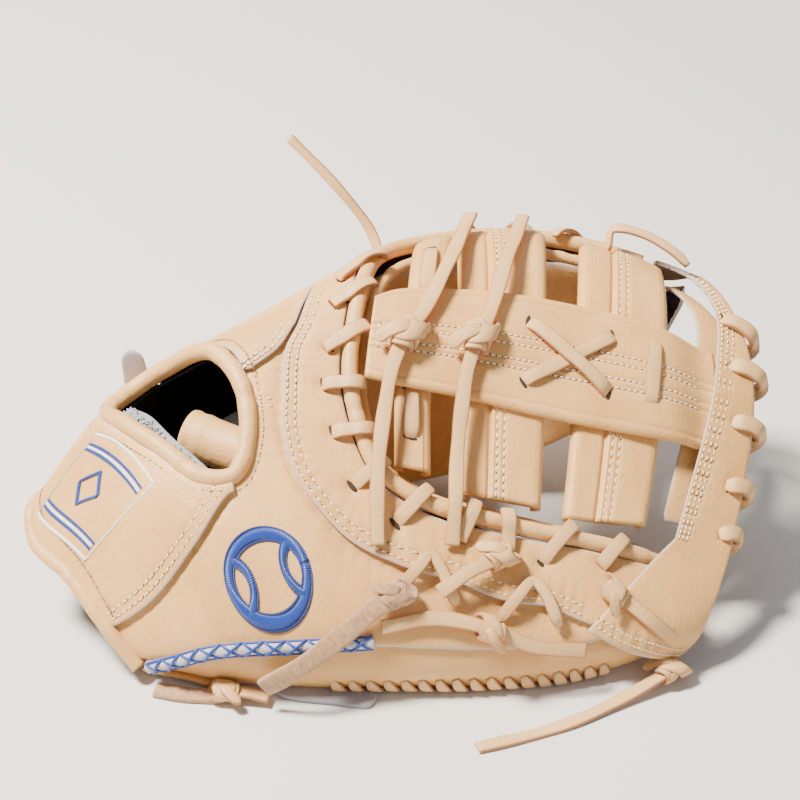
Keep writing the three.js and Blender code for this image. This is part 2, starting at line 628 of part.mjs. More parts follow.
// Section of a bar: leather folded back at both sides into half rolls, open behind.
function barSection(width) {
  const half = width / 2;
  const depth = BAR_ROLL;
  const turn = Math.min(depth / 2, half / 2);
  const inner = turn - BAR_WALL;
  const section = new THREE.Shape();
  section.moveTo(half - turn, 0);
  section.absarc(half - turn, -turn, turn, Math.PI / 2, -Math.PI / 2, true);
  section.lineTo(half - turn - 2, -2 * turn);
  section.lineTo(half - turn - 2, -2 * turn + BAR_WALL * 0.9);
  section.absarc(half - turn, -turn, inner, -Math.PI / 2, Math.PI / 2, false);
  section.lineTo(turn - half, -BAR_WALL);
  section.absarc(turn - half, -turn, inner, Math.PI / 2, -Math.PI / 2, false);
  section.lineTo(turn - half + 2, -2 * turn + BAR_WALL * 0.9);
  section.lineTo(turn - half + 2, -2 * turn);
  section.absarc(turn - half, -turn, turn, -Math.PI / 2, Math.PI / 2, true);
  return new THREE.Shape(section.getPoints(3));
}

function buildWeb() {
  Object.entries(BARS).forEach(([name, bar]) => {
    const middle = new THREE.CatmullRomCurve3(bar.line.map(([u, v]) => new THREE.Vector3(u, v, 0)));
    const way = { depth: 1, steps: 5, bevelEnabled: false };
    const strap = new THREE.ExtrudeGeometry(barSection(bar.width), way);
    const bent = form(strap, (p) => {
      const at = middle.getPoint(p.z);
      return on(at.x + p.x / FLAT_LENGTH, at.y, BAR_FACE + p.y);
    });
    add(name, bent, LEATHER_LOOK);
  });

  const places = POST_LINE.map((row) => new THREE.Vector3(row.along, row.across, 0));
  const lifts = POST_LINE.map((row) => new THREE.Vector3(row.along, row.lift / FLAT_LENGTH, row.width));
  const postPlace = new THREE.CatmullRomCurve3(places, false, "centripetal");
  const postLift = new THREE.CatmullRomCurve3(lifts, false, "centripetal");
  const edge = POST_THICKNESS / 2;
  const section = new THREE.Shape();
  const third = POST_WIDTH / 6;
  section.moveTo(-third, 0);
  section.lineTo(third, 0);
  section.absarc(POST_WIDTH / 2 - edge, edge, edge, -Math.PI / 2, Math.PI / 2, false);
  section.lineTo(third, POST_THICKNESS);
  section.lineTo(-third, POST_THICKNESS);
  section.absarc(edge - POST_WIDTH / 2, edge, edge, Math.PI / 2, 1.5 * Math.PI, false);
  const ring = new THREE.Shape(section.getPoints(3));
  const band = new THREE.ExtrudeGeometry(ring, { depth: 1, steps: 11, bevelEnabled: false });
  const bent = form(band, (p) => {
    const at = postPlace.getPoint(p.z);
    const lift = postLift.getPoint(p.z);
    const slant = POST_END_SLANT * (p.x / POST_WIDTH) * Math.max(1 - 5 * p.z, 0);
    return on(at.x + slant, at.y + (p.x * lift.z) / FLAT_WIDTH, lift.y * FLAT_LENGTH + p.y);
  });
  add("web_post", bent, LEATHER_LOOK);
}
buildWeb();

// Inside the hand hole
function buildInside() {
  const fleeceOutline = [
    [[0.085, 0.62], [0.085, 0.4], [0.12, 0.26], [0.185, 0.215]],
    [[0.185, 0.215], [0.222, 0.262]],
    [[0.222, 0.262], [0.2, 0.3], [0.178, 0.36], [0.168, 0.46], [0.165, 0.6]],
    [[0.165, 0.6], [0.085, 0.62]],
  ];
  const fleeceLift = BACK_LIFT + LEATHER - BINDING_RADIUS - 1.5 * LAYER_GAP - FLEECE_THICKNESS;
  add("fleece_lining", leatherPiece(fleeceOutline, [], fleeceLift, FLEECE_THICKNESS), ROLL_LOOK);

  const rim = STALL_RADIUS;
  const profile = [
    new THREE.Vector2(rim - LEATHER, 0), new THREE.Vector2(rim - LEATHER / 2, -LEATHER / 2),
    new THREE.Vector2(rim, 0), new THREE.Vector2(rim, STALL_LENGTH),
    new THREE.Vector2(rim - LEATHER, STALL_LENGTH), new THREE.Vector2(rim - LEATHER, 0),
  ];
  const stall = new THREE.LatheGeometry(profile, 12);
  const mouth = onPalm(0.235, 0.41, PALM_LEATHER + 2 * LACE_CLEARANCE + rim);
  const end = onPalm(0.34, 0.41, PALM_LEATHER + 5 * LACE_CLEARANCE + rim);
  const way = end.sub(mouth).normalize();
  const turn = new THREE.Quaternion().setFromUnitVectors(new THREE.Vector3(0, 1, 0), way);
  add("finger_stall", form(stall, (p) => p.applyQuaternion(turn).add(mouth)), EDGE_LOOK);
}
buildInside();

// Where a lace from one point to another crosses the web welt, and how squarely
function crossingOf(from, to) {
  const welt = new THREE.CatmullRomCurve3(
    WELT_LINE.map(([u, v]) => new THREE.Vector3(u * FLAT_LENGTH, v * FLAT_WIDTH, 0)), false, "centripetal");
  const start = new THREE.Vector3(from[0] * FLAT_LENGTH, from[1] * FLAT_WIDTH, 0);
  const run = new THREE.Vector3(to[0] * FLAT_LENGTH, to[1] * FLAT_WIDTH, 0).sub(start);
  let best = { gap: Infinity };
  for (let i = 0; i <= 300; i += 1) {
    const off = welt.getPoint(i / 300).sub(start);
    const share = Math.min(Math.max(off.dot(run) / run.lengthSq(), 0), 1);
    const gap = off.distanceTo(run.clone().multiplyScalar(share));
    if (gap < best.gap) best = { gap, share, tangent: welt.getTangent(i / 300) };
  }
  return { share: best.share, square: best.tangent.cross(run).length() / run.length() };
}

// Laces from a hole in the facing, over the welt and down into the web
const WELT_LACES = [
  { hole: [0.428, 0.585], inside: [0.482, 0.605] },
  { hole: [0.425, 0.53], inside: [0.478, 0.55] },
  { hole: [0.39, 0.443], inside: [0.45, 0.475] },
  { hole: [0.373, 0.382], inside: [0.43, 0.385] },
  { hole: [0.373, 0.316], inside: [0.43, 0.325] },
  { hole: [0.387, 0.25], inside: [0.44, 0.29] },
  { hole: [0.437, 0.213], inside: [0.49, 0.262] },
  { hole: [0.53, 0.213], inside: [0.556, 0.258] },
  { hole: [0.597, 0.21], inside: [0.602, 0.256] },
  { hole: [0.643, 0.193], inside: [0.7, 0.252] },
  { hole: [0.737, 0.197], inside: [0.777, 0.24] },
];
function buildWeltLaces() {
  WELT_LACES.forEach(({ hole, inside }, i) => {
    const { share, square } = crossingOf(hole, inside);
    const run = new THREE.Vector2((inside[0] - hole[0]) * FLAT_LENGTH, (inside[1] - hole[1]) * FLAT_WIDTH);
    const length = run.length();
    const at = (distance, lift) => {
      const s = share + distance / (square * length);
      return [hole[0] + (inside[0] - hole[0]) * s, hole[1] + (inside[1] - hole[1]) * s, lift];
    };
    const arc = [135, 100, 65, 30, 0].map((degrees) => {
      const angle = (degrees * Math.PI) / 180;
      return at(LACE_ARCH * Math.cos(angle), WELT_LIFT + LACE_ARCH * Math.sin(angle));
    });
    const rows = [[hole[0], hole[1], ON_OVER], at(-LACE_ARCH - 2.5, ON_OVER + 0.4), ...arc];
    add(`welt_lace_${i + 1}`, laceOn(rows, LACE_WIDTH, LACE_THICKNESS, 8), LACE_LOOK);
  });
}
buildWeltLaces();

// Whip lacing round the outer edge of the crown
const RIM_LACES = [0.545, 0.462, 0.383, 0.3, 0.215];
function buildRimLaces() {
  RIM_LACES.forEach((across, i) => {
    const rows = [
      [0.958, across + 0.016, ON_CROWN], [0.975, across + 0.014, ON_CROWN + 0.2],
      [0.995, across + 0.006, ON_CROWN - 0.6], [1.004, across, 2.2], [0.995, across - 0.006, -3.6],
      [0.975, across - 0.012, -5.4],
    ];
    add(`rim_lace_${i + 1}`, laceOn(rows, LACE_WIDTH, LACE_THICKNESS, 8), LACE_LOOK);
  });
}
buildRimLaces();

// Laces through the post
function buildPostLaces() {
  const dip = LACE_PILE + 0.3;
  add("post_lace_under", laceOn([
    [0.773, 0.472, ON_POST], [0.735, 0.452, ON_POST], [0.69, 0.43, ON_POST], [0.653, 0.412, ON_POST],
  ], LACE_WIDTH, LACE_THICKNESS, 5), LACE_LOOK);
  add("post_lace_over", laceOn([
    [0.667, 0.471, ON_POST], [0.69, 0.457, ON_POST + dip], [0.712, 0.443, ON_POST + dip + 0.4],
    [0.735, 0.43, ON_POST + dip], [0.76, 0.415, ON_POST],
  ], LACE_WIDTH, LACE_THICKNESS, 7), LACE_LOOK);
  add("post_lace_loop", laceOn([
    [0.836, 0.474, ON_POST], [0.833, 0.455, ON_POST + 1.4], [0.829, 0.432, ON_POST + 1.4],
    [0.826, 0.41, ON_POST],
  ], LACE_WIDTH, LACE_THICKNESS, 5), LACE_LOOK);
  add("bar_lace_upper", laceOn([
    [0.545, 0.585, ON_BAR], [0.54, 0.56, ON_BAR + 0.6], [0.533, 0.53, ON_BAR],
  ], LACE_WIDTH, LACE_THICKNESS, 4), LACE_LOOK);
  add("bar_lace_lower", laceOn([
    [0.489, 0.38, ON_BAR], [0.485, 0.36, ON_BAR + 0.8], [0.478, 0.33, ON_BAR],
  ], LACE_WIDTH, LACE_THICKNESS, 4), LACE_LOOK);
}
buildPostLaces();

// A knot: a thick turn of lace round its own two ends, joined to them
const KNOT_RADIUS = 4.6;
const KNOT_ROLL = 2.1;
const KNOT_FLATNESS = 0.72;
const KNOT_LIFT = (KNOT_RADIUS + KNOT_ROLL) * KNOT_FLATNESS + LACE_CLEARANCE;
function knotAt(centre, normal, direction) {
  const ring = new THREE.TorusGeometry(KNOT_RADIUS, KNOT_ROLL, 5, 8);
  const side = direction.clone().cross(normal).normalize();
  const up = side.clone().cross(direction).normalize();
  return form(ring, (p) =>
    centre.clone().addScaledVector(side, p.x).addScaledVector(up, p.y * KNOT_FLATNESS)
      .addScaledVector(direction, p.z * 1.5));
}

// A lace with a knot at one of its rows, as one body.
function knottedLace(rows, knotRow) {
  const points = rows.map((row) => on(...row));
  const before = points[Math.max(knotRow - 1, 0)];
  const after = points[Math.min(knotRow + 1, points.length - 1)];
  const direction = after.clone().sub(before).normalize();
  const [u, v] = rows[knotRow];
  const knot = knotAt(points[knotRow], normalOf(surface, u, v), direction);
  return geometryOf(solidOf(laceOn(rows)).add(solidOf(knot)));
}

function buildKnots() {
  const postKnot = ON_POST - LACE_SEAT + KNOT_LIFT;
  const facingKnot = OVER_LIFT + LEATHER + KNOT_LIFT;
  add("knot_lace_left", knottedLace([
    [0.603, 0.645, 13], [0.57, 0.585, 11], [0.535, 0.5, postKnot], [0.503, 0.46, postKnot],
    [0.462, 0.4, 13.4], [0.44, 0.33, 13], [0.423, 0.26, 12.6], [0.415, 0.19, ON_OVER + 1],
  ], 3), LACE_LOOK);
  add("knot_lace_right", knottedLace([
    [0.667, 0.648, 12], [0.645, 0.56, ON_BAR + 1], [0.625, 0.502, postKnot - 0.6], [0.602, 0.458, postKnot],
    [0.566, 0.39, 12], [0.537, 0.32, 9.4], [0.522, 0.25, 13.4], [0.513, 0.2, ON_OVER + 1],
  ], 3), LACE_LOOK);
  add("knot_lace_thumb", knottedLace([
    [0.598, 0.2, facingKnot], [0.583, 0.193, facingKnot], [0.54, 0.175, facingKnot + 1.5],
    [0.487, 0.15, ON_OVER + LACE_PILE + 1],
  ], 1), LACE_LOOK);
  add("knot_lace_tip", knottedLace([
    [0.735, 0.165, facingKnot], [0.745, 0.155, facingKnot], [0.8, 0.115, ON_CROWN + 2],
    [0.86, 0.08, ON_CROWN],
  ], 1), LACE_LOOK);
  add("thumb_lace", knottedLace([
    [0.4, 0.118, ON_BACK + 1.6], [0.48, 0.128, ON_BACK + 2.4], [0.555, 0.12, BACK_LIFT + LEATHER + KNOT_LIFT],
    [0.62, 0.1, ON_BACK + 2], [0.7, 0.088, ON_BACK + 1],
  ], 2), LACE_LOOK);
  add("seam_loop_left", laceOn([
    [0.44, 0.155, ON_BACK], [0.463, 0.172, ON_OVER + 1.4], [0.482, 0.186, ON_OVER + 0.7],
    [0.494, 0.174, ON_OVER + 0.8], [0.508, 0.147, ON_OVER + 0.3],
  ], LACE_WIDTH * 0.8, LACE_THICKNESS, 7), LACE_LOOK);
  add("seam_loop_right", laceOn([
    [0.578, 0.132, ON_BACK], [0.603, 0.153, ON_OVER + 1.4], [0.628, 0.17, ON_OVER + 0.8],
    [0.643, 0.157, ON_OVER + 1.2], [0.657, 0.127, ON_OVER + 0.4],
  ], LACE_WIDTH * 0.8, LACE_THICKNESS, 7), LACE_LOOK);
}
buildKnots();

// A place over the ground: shares of the length and depth, and a height in millimetres
function over(along, deep, height) {
  return new THREE.Vector3(along * LENGTH, deep * DEPTH, height);
}
function lowestOf(...names) {
  return Math.min(...names.map((name) => new THREE.Box3().setFromObject(mitt.getObjectByName(name)).min.z));
}
const UP = new THREE.Vector3(0, 0, 1);
const TOWARDS_BACK = new THREE.Vector3(0, 1, 0);
const GROUND = lowestOf("palm_heel", "pocket_thumb_side"); // what the palm rests on
const ON_GROUND = GROUND + LACE_THICKNESS / 2 + 0.05;

// Heel: rough lace tied from the thumb down to the wrist, and the leather tabs it holds
function buildHeel() {
  const rough = [
    [0.43, 0.146, ON_BACK + 5.8], [0.4, 0.135, ON_BACK + 5.2], [0.33, 0.105, ON_BACK + 4],
    [0.27, 0.082, ON_BACK + 6.2], [0.215, 0.06, ON_BACK + 5.4],
  ];
  const points = rough.map((row) => on(...row));
  const direction = points[1].clone().sub(points[0]).normalize();
  const knot = knotAt(points[0].clone().lerp(points[1], 0.35), normalOf(surface, 0.42, 0.137), direction);
  const band = laceOn(rough, LACE_WIDTH * 1.1, LACE_THICKNESS, 9);
  add("rough_lace", geometryOf(solidOf(band).add(solidOf(knot))), ROUGH_LOOK);

  const tab = (name, rows, width, look) =>
    add(name, strip(rows.map((row) => over(...row)), rows.map(() => UP), width, TAB_THICKNESS, 4), look);
  tab("heel_tab_upper", [
    [0.165, 0.05, GROUND + 3.6], [0.21, 0.025, GROUND + 3.2], [0.258, -0.004, GROUND + 2.2],
  ], 9, LEATHER_LOOK);
  tab("heel_tab_right", [
    [0.35, 0.001, GROUND + 1.2], [0.354, -0.02, GROUND + 1.3], [0.4, -0.045, GROUND + 1.4],
    [0.47, -0.06, GROUND + 1.2],
  ], 13, SUEDE_LOOK);
  tab("heel_tab_lower", [
    [0.18, -0.03, GROUND + 1.2], [0.225, -0.05, GROUND + 1.3], [0.2735, -0.058, GROUND + 1.5],
  ], 9, ROUGH_LOOK);
  const heelRows = [
    over(0.27, -0.058, GROUND + 5.1), over(0.3, -0.066, GROUND + 5.1), over(0.33, -0.076, GROUND + 3.4),
  ];
  const heelBand = strip(heelRows, [UP, UP, UP], LACE_WIDTH, LACE_THICKNESS, 3);
  const heelRun = heelRows[1].clone().sub(heelRows[0]).normalize();
  const heelKnot = knotAt(heelRows[0].clone().lerp(heelRows[1], 0.5), UP, heelRun);
  add("heel_knot", geometryOf(solidOf(heelBand).add(solidOf(heelKnot))), LACE_LOOK);
}
buildHeel();

// The lace that ends in a knot under the tip and lies on the ground
function buildGroundLace() {
  const points = [
    over(0.86, 0.008, GROUND + 0.0516 * HEIGHT), over(0.845, -0.012, GROUND + 0.0484 * HEIGHT),
    over(0.8, -0.06, GROUND + 3), over(0.74, -0.13, ON_GROUND + 0.2), over(0.67, -0.19, ON_GROUND),
    over(0.6, -0.235, ON_GROUND),
  ];
  const direction = points[1].clone().sub(points[0]).normalize();
  const knot = knotAt(points[0].clone().lerp(points[1], 0.5), UP, direction);
  const band = strip(points, points.map(() => UP), LACE_WIDTH, LACE_THICKNESS, 9);
  add("ground_lace", geometryOf(solidOf(band).add(solidOf(knot))), LACE_LOOK);
}
buildGroundLace();

// Loose ends and lacing along the ridge, and the pull tab behind the wrist
const RIDGE_WELT = 0.683; // share across at which the welt runs along the ridge
function buildRidge() {
  const top = (along, high) => on(along, 0.655, high);
  const beyond = (lift, x, y, z) => top(0.47, lift).add(new THREE.Vector3(x, y, z));
  const long = [
    top(0.47, ON_OVER - 1.3), beyond(ON_OVER + 5, -3, 3, 4), beyond(ON_OVER, -16, 14, 24),
    beyond(ON_OVER, -45, 28, 45),
  ];
  const longFacing = long.map(() => TOWARDS_BACK);
  add("long_lace", strip(long, longFacing, LACE_WIDTH * 0.62, LACE_THICKNESS, 8), LACE_LOOK);
  const curl = [
    on(0.79, 0.64, BAR_FACE + 0.9), top(0.787, ON_OVER + 6), top(0.8, ON_OVER + 9.5),
    top(0.84, ON_OVER + 10.5), top(0.885, ON_OVER + 8.5), top(0.91, ON_OVER + 5.6),
  ];
  const curlNormals = [
    new THREE.Vector3(-1, -0.3, 0.1), new THREE.Vector3(-1, -0.3, 0.6), new THREE.Vector3(-0.3, -0.3, 1),
    new THREE.Vector3(0, -0.3, 1), new THREE.Vector3(0.2, -0.3, 1), new THREE.Vector3(0.2, -0.3, 1),
  ];
  add("ridge_lace_end", strip(curl, curlNormals, LACE_WIDTH * 0.8, LACE_THICKNESS, 9), LACE_LOOK);

  const crossings = [
    { along: 0.6, lean: -0.01 },
    { along: 0.665, lean: 0.015 },
    { along: 0.735, lean: -0.02 },
  ];
  crossings.forEach(({ along, lean }, i) => {
    const rows = [140, 105, 70, 35, 5].map((degrees) => {
      const angle = (degrees * Math.PI) / 180;
      const across = RIDGE_WELT - (LACE_ARCH * Math.cos(angle)) / FLAT_WIDTH;
      return [along + lean * Math.cos(angle), across, WELT_LIFT + LACE_ARCH * Math.sin(angle)];
    });
    rows.unshift([along - lean * 1.4, RIDGE_WELT + (LACE_ARCH + 4) / FLAT_WIDTH, ON_OVER]);
    add(`ridge_lace_${i + 1}`, laceOn(rows, LACE_WIDTH, LACE_THICKNESS, 6), LACE_LOOK);
  });

  const tabFoot = on(0.142, 0.78, OVER_LIFT + LEATHER + TAB_THICKNESS + 4 * LACE_CLEARANCE);
  const tabRows = [
    tabFoot, tabFoot.clone().add(new THREE.Vector3(-1, 0.5, PULL_TAB_HEIGHT / 2)),
    tabFoot.clone().add(new THREE.Vector3(-3, 1, PULL_TAB_HEIGHT)),
  ];
  const tabFacing = tabRows.map(() => new THREE.Vector3(0, -1, 0));
  add("pull_tab", strip(tabRows, tabFacing, 10, TAB_THICKNESS, 3), SUEDE_LOOK);
}
buildRidge();

// The origin is on the ground under the middle of the mitt.
const whole = new THREE.Box3().setFromObject(mitt);
const middle = whole.getCenter(new THREE.Vector3());
mitt.position.set(-middle.x, -middle.y, -whole.min.z);

export default mitt;
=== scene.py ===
import math
import random

import bmesh
import bpy
import numpy as np
from bpy.props import FloatProperty, FloatVectorProperty, PointerProperty
from mathutils import Matrix, Vector, kdtree, noise


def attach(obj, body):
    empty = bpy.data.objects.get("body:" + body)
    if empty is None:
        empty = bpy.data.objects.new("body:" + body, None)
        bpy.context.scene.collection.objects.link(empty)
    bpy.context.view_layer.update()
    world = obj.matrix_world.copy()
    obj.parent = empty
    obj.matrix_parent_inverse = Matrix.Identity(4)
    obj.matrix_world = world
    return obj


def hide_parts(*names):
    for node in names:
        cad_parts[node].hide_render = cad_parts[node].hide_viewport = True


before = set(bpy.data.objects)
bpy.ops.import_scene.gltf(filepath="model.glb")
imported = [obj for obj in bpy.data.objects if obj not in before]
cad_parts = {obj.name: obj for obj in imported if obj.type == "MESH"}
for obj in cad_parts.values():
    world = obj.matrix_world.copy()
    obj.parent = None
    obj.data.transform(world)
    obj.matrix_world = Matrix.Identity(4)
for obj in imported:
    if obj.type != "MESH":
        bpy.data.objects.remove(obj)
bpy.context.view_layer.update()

bl_info = {
    "name": "First Base Mitt Look",
    "version": (1, 0, 0),
    "blender": (4, 5, 0),
    "location": "3D View > Sidebar > Mitt",
    "description": "Dresses the packed first base mitt in leather, lacing and stitching",
    "category": "Object",
}

# The mitt's form, in millimetres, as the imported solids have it
LENGTH = 336.0
DEPTH = 190.0
HEIGHT = 128.0
ORIGIN = np.array([-168.101, -74.367, -1.457])  # the pattern's corner in the mitt's frame
# The back surface is drawn through rails that run from wrist to tip, from the thumb's edge over the ridge to
# the fingers' edge. Each point is a share of the length, the depth and the height.
RAILS = {
    "thumb_edge": [(.164, .03, .05), (.283, 0, .01), (.417, -.01, 0), (.55, -.01, 0), (.68, 0, 0), (.785, .045, .02),
                   (.875, .11, .07)],
    "thumb_side": [(.13, .05, .12), (.262, -.035, .15), (.4, -.055, .155), (.54, -.055, .15), (.675, -.03, .14),
                   (.8, .025, .14), (.905, .13, .155)],
    "thumb_top": [(.09, .12, .19), (.228, .075, .4), (.37, .06, .43), (.522, .055, .39), (.665, .07, .325),
                  (.8, .115, .285), (.935, .225, .25)],
    "thumb_crest": [(.05, .19, .245), (.196, .221, .59), (.342, .242, .67), (.506, .242, .61), (.652, .242, .515),
                    (.795, .253, .43), (.957, .345, .35)],
    "web_middle": [(.004, .274, .28), (.149, .379, .7), (.312, .453, .875), (.476, .484, .885), (.631, .505, .83),
                   (.785, .516, .742), (.988, .558, .6)],
    "ridge": [(.024, .379, .36), (.125, .484, .675), (.286, .632, .84), (.452, .789, .97), (.619, .895, 1),
              (.778, .9, .93), (.958, .789, .775)],
    "finger_side": [(.048, .463, .27), (.155, .642, .53), (.304, .832, .56), (.452, .958, .55), (.613, 1, .59),
                    (.768, .99, .625), (.925, .905, .76)],
    "finger_edge": [(.071, .505, .2), (.179, .674, .05), (.315, .768, 0), (.446, .8, 0), (.595, .79, .1),
                    (.744, .8, .266), (.908, .874, .578)],
}
STATION_AT = np.array([0, .15, .3, .46, .62, .78, 1])
RAIL_AT = np.array([0, .075, .16, .27, .43, .65, .82, 1])
# The palm folds in at both edges: share round it, the share across of the back above it, share of its depth
PALM_FOLDS = np.array([
    (0.0, 0.1, 0), (0.05, 0.048, 0), (0.1, 0.006, 0.08), (0.15, 0.006, 0.6), (0.2, 0.045, 0.96), (0.3, 0.17, 1),
    (0.4, 0.31, 1), (0.5, 0.46, 1), (0.6, 0.62, 1), (0.7, 0.78, 1), (0.8, 0.945, 0.96), (0.85, 0.99, 0.6),
    (0.9, 0.99, 0.08), (0.95, 0.955, 0), (1.0, 0.91, 0),
])
# The room for the hand between back and palm: its depth, and the share of it along the mitt
HAND_SPACE = 36.0
HAND_ROOM = np.array([(0, 0.8), (0.2, 1), (0.4, 0.8), (0.6, 0.6), (0.8, 0.42), (1, 0.2)])
# The palm is open under the web; the hand room thins out towards that notch
NOTCH_ALONG, NOTCH_LOW, NOTCH_HIGH = 0.405, 0.345, 0.65
NOTCH_ROUNDING = 28.0
NOTCH_DEPTH = 0.24
FLAT_LENGTH = 0.9 * LENGTH
FLAT_WIDTH = 0.9 * (DEPTH + HEIGHT)

# Thicknesses, radii and the lifts of the layers and laces over the back surface
LEATHER = 2.0
PALM_LEATHER = 2.4
LAYER_GAP = 0.8
WELT_RADIUS = 3.7
PALM_WELT_RADIUS = 2.6
BINDING_RADIUS = 3.4
EDGE_ROLL_RADIUS = 2.8
LACE_WIDTH = 6.2
LACE_THICKNESS = 1.9
LACE_CLEARANCE = 0.35
POST_WIDTH = 38.0
POST_THICKNESS = 4.2
BAR_WALL = 2.2
BAR_ROLL = 7.6
OVER_LIFT = LEATHER + LAYER_GAP
CROWN_LIFT = OVER_LIFT + LEATHER + 1.3 * LAYER_GAP
BAR_FACE = OVER_LIFT + LEATHER - 0.6
POST_LIFT = BAR_FACE + 1.1
LACE_SEAT = LACE_THICKNESS / 2 + LACE_CLEARANCE
ON_BACK = LEATHER + LACE_SEAT
ON_OVER = OVER_LIFT + LEATHER + LACE_SEAT
ON_CROWN = CROWN_LIFT + LEATHER + LACE_SEAT
ON_POST = POST_LIFT + POST_THICKNESS + LACE_SEAT
ON_BAR = BAR_FACE + LACE_SEAT
LACE_PILE = LACE_THICKNESS + LACE_CLEARANCE
WELT_LIFT = OVER_LIFT + LEATHER / 2
WELT_TURN = WELT_RADIUS + LACE_SEAT + 0.5  # how far a lace runs from the welt's middle
KNOT_SEAT = (4.6 + 2.1) * .72 + LACE_CLEARANCE  # radius and wall of a knot, pressed flat
ROUGH_WIDTH, ROUGH_THICKNESS = 9.0, LACE_THICKNESS + 1.0
TAB_THICKNESS = 2.4
FLEECE = 3.4
SHADE_SHEET = 1.0
STALL_RADIUS = 11.0
HOLE_TUCK = 2.2  # how far the leather reaches under the hand hole's binding
RIDGE_LINE = .655  # the share across at which the ridge laces hang
GROUND = 1.457
THREAD = (1.15, 0.44, 0.4)  # half the length, width and height of a stitch on the web

# Lines of the pattern, as (along, across) shares
HAND_HOLE = [(.14, .63), (.146, .45), (.165, .34), (.2, .268), (.24, .262), (.268, .31), (.276, .4), (.262, .545),
             (.208, .675), (.16, .7)]
STRAP_SEAM = [(.226, .235), (.175, .19), (.11, .15), (.03, .122)]
RIDGE_SEAM = [(.286, .418), (.33, .455), (.362, .51)]
FACING_SEAM = [(.39, .6), (.362, .51), (.335, .45), (.318, .37), (.31, .315), (.318, .255), (.365, .195), (.435, .17),
               (.515, .16), (.585, .145), (.645, .14), (.695, .122)]
WELT_LINE = [(.84, .2), (.775, .22), (.71, .232), (.64, .236), (.565, .24), (.51, .242), (.46, .255), (.425, .28),
             (.411, .33), (.411, .395), (.43, .475), (.455, .56), (.485, .635), (.54, .672), (.62, .682), (.7, .684),
             (.78, .686), (.85, .69)]
CROWN_INNER = [(.862, .235), (.872, .27), (.89, .325), (.908, .38), (.922, .43), (.932, .49), (.941, .54),
               (.943, .59), (.934, .64), (.905, .68), (.87, .695)]


# ---- the surface ----
def bend_rows(knots):
    n = len(knots)
    step = np.diff(knots)
    left = np.eye(n)
    right = np.zeros((n, n))
    for i in range(1, n - 1):
        left[i, i - 1] = step[i - 1] / 6
        left[i, i] = (step[i - 1] + step[i]) / 3
        left[i, i + 1] = step[i] / 6
        right[i, i - 1] = 1 / step[i - 1]
        right[i, i] = -1 / step[i - 1] - 1 / step[i]
        right[i, i + 1] = 1 / step[i]
    return np.linalg.solve(left, right)


BENDS = {}


def weights(knots, at):
    """Rows of natural cubic spline weights on the values at the knots."""
    key = tuple(knots)
    if key not in BENDS:
        BENDS[key] = bend_rows(knots)
    bend = BENDS[key]
    at = np.atleast_1d(np.asarray(at, float))
    seg = np.clip(np.searchsorted(knots, at, side="right") - 1, 0, len(knots) - 2)
    step = np.diff(knots)[seg]
    near = (at - knots[seg]) / step
    far = 1 - near
    rows = np.zeros((len(at), len(knots)))
    rows[np.arange(len(at)), seg] += far
    rows[np.arange(len(at)), seg + 1] += near
    scale = (step * step / 6)[:, None]
    rows += scale * ((far ** 3 - far)[:, None] * bend[seg] + (near ** 3 - near)[:, None] * bend[seg + 1])
    return rows


RAIL_POINTS = np.array([RAILS[name] for name in RAILS]) * np.array([LENGTH, DEPTH, HEIGHT])


def surface(u, v):
    return np.einsum("ni,nj,jik->nk", weights(STATION_AT, u), weights(RAIL_AT, v), RAIL_POINTS)


def palm_face(u, fold):
    rows = weights(PALM_FOLDS[:, 0], fold)
    across = rows @ PALM_FOLDS[:, 1]
    aside = np.maximum(NOTCH_ALONG - u, 0) * FLAT_LENGTH
    beyond = np.maximum(np.maximum(NOTCH_LOW - fold, fold - NOTCH_HIGH), 0) * FLAT_WIDTH
    inset = 1 - np.minimum(np.hypot(aside, beyond) / NOTCH_ROUNDING, 1)
    rounding = NOTCH_DEPTH + (1 - NOTCH_DEPTH) * np.sqrt(1 - inset * inset)
    room = HAND_SPACE * (weights(HAND_ROOM[:, 0], u) @ HAND_ROOM[:, 1])
    depth = room * rounding * np.maximum(rows @ PALM_FOLDS[:, 2], 0)
    middle = (surface(u, 0.02 + 0 * u) + surface(u, 0.98 + 0 * u)) / 2
    middle[:, 2] += 0.12 * HEIGHT
    back = surface(u, across)
    way = middle - back
    way /= np.linalg.norm(way, axis=1)[:, None]
    return back + way * depth[:, None]


def normals_of(place, u, v):
    small = 1e-3
    cross = np.cross(place(u + small, v) - place(u - small, v), place(u, v + small) - place(u, v - small))
    return cross / np.linalg.norm(cross, axis=1)[:, None]


def lifted(place, u, v, lift):
    u = np.atleast_1d(np.asarray(u, float))
    v = np.atleast_1d(np.asarray(v, float))
    lift = np.broadcast_to(np.asarray(lift, float), u.shape)
    return place(u, v) + normals_of(place, u, v) * lift[:, None]


def on(u, v, lift=0.0):
    return lifted(surface, u, v, lift)


def on_palm(u, fold, lift=0.0):
    return lifted(palm_face, u, fold, lift)


def to_scene(points):
    """Millimetres in the pattern's frame to metres in the mitt's frame."""
    return (np.asarray(points) + ORIGIN) / 1000


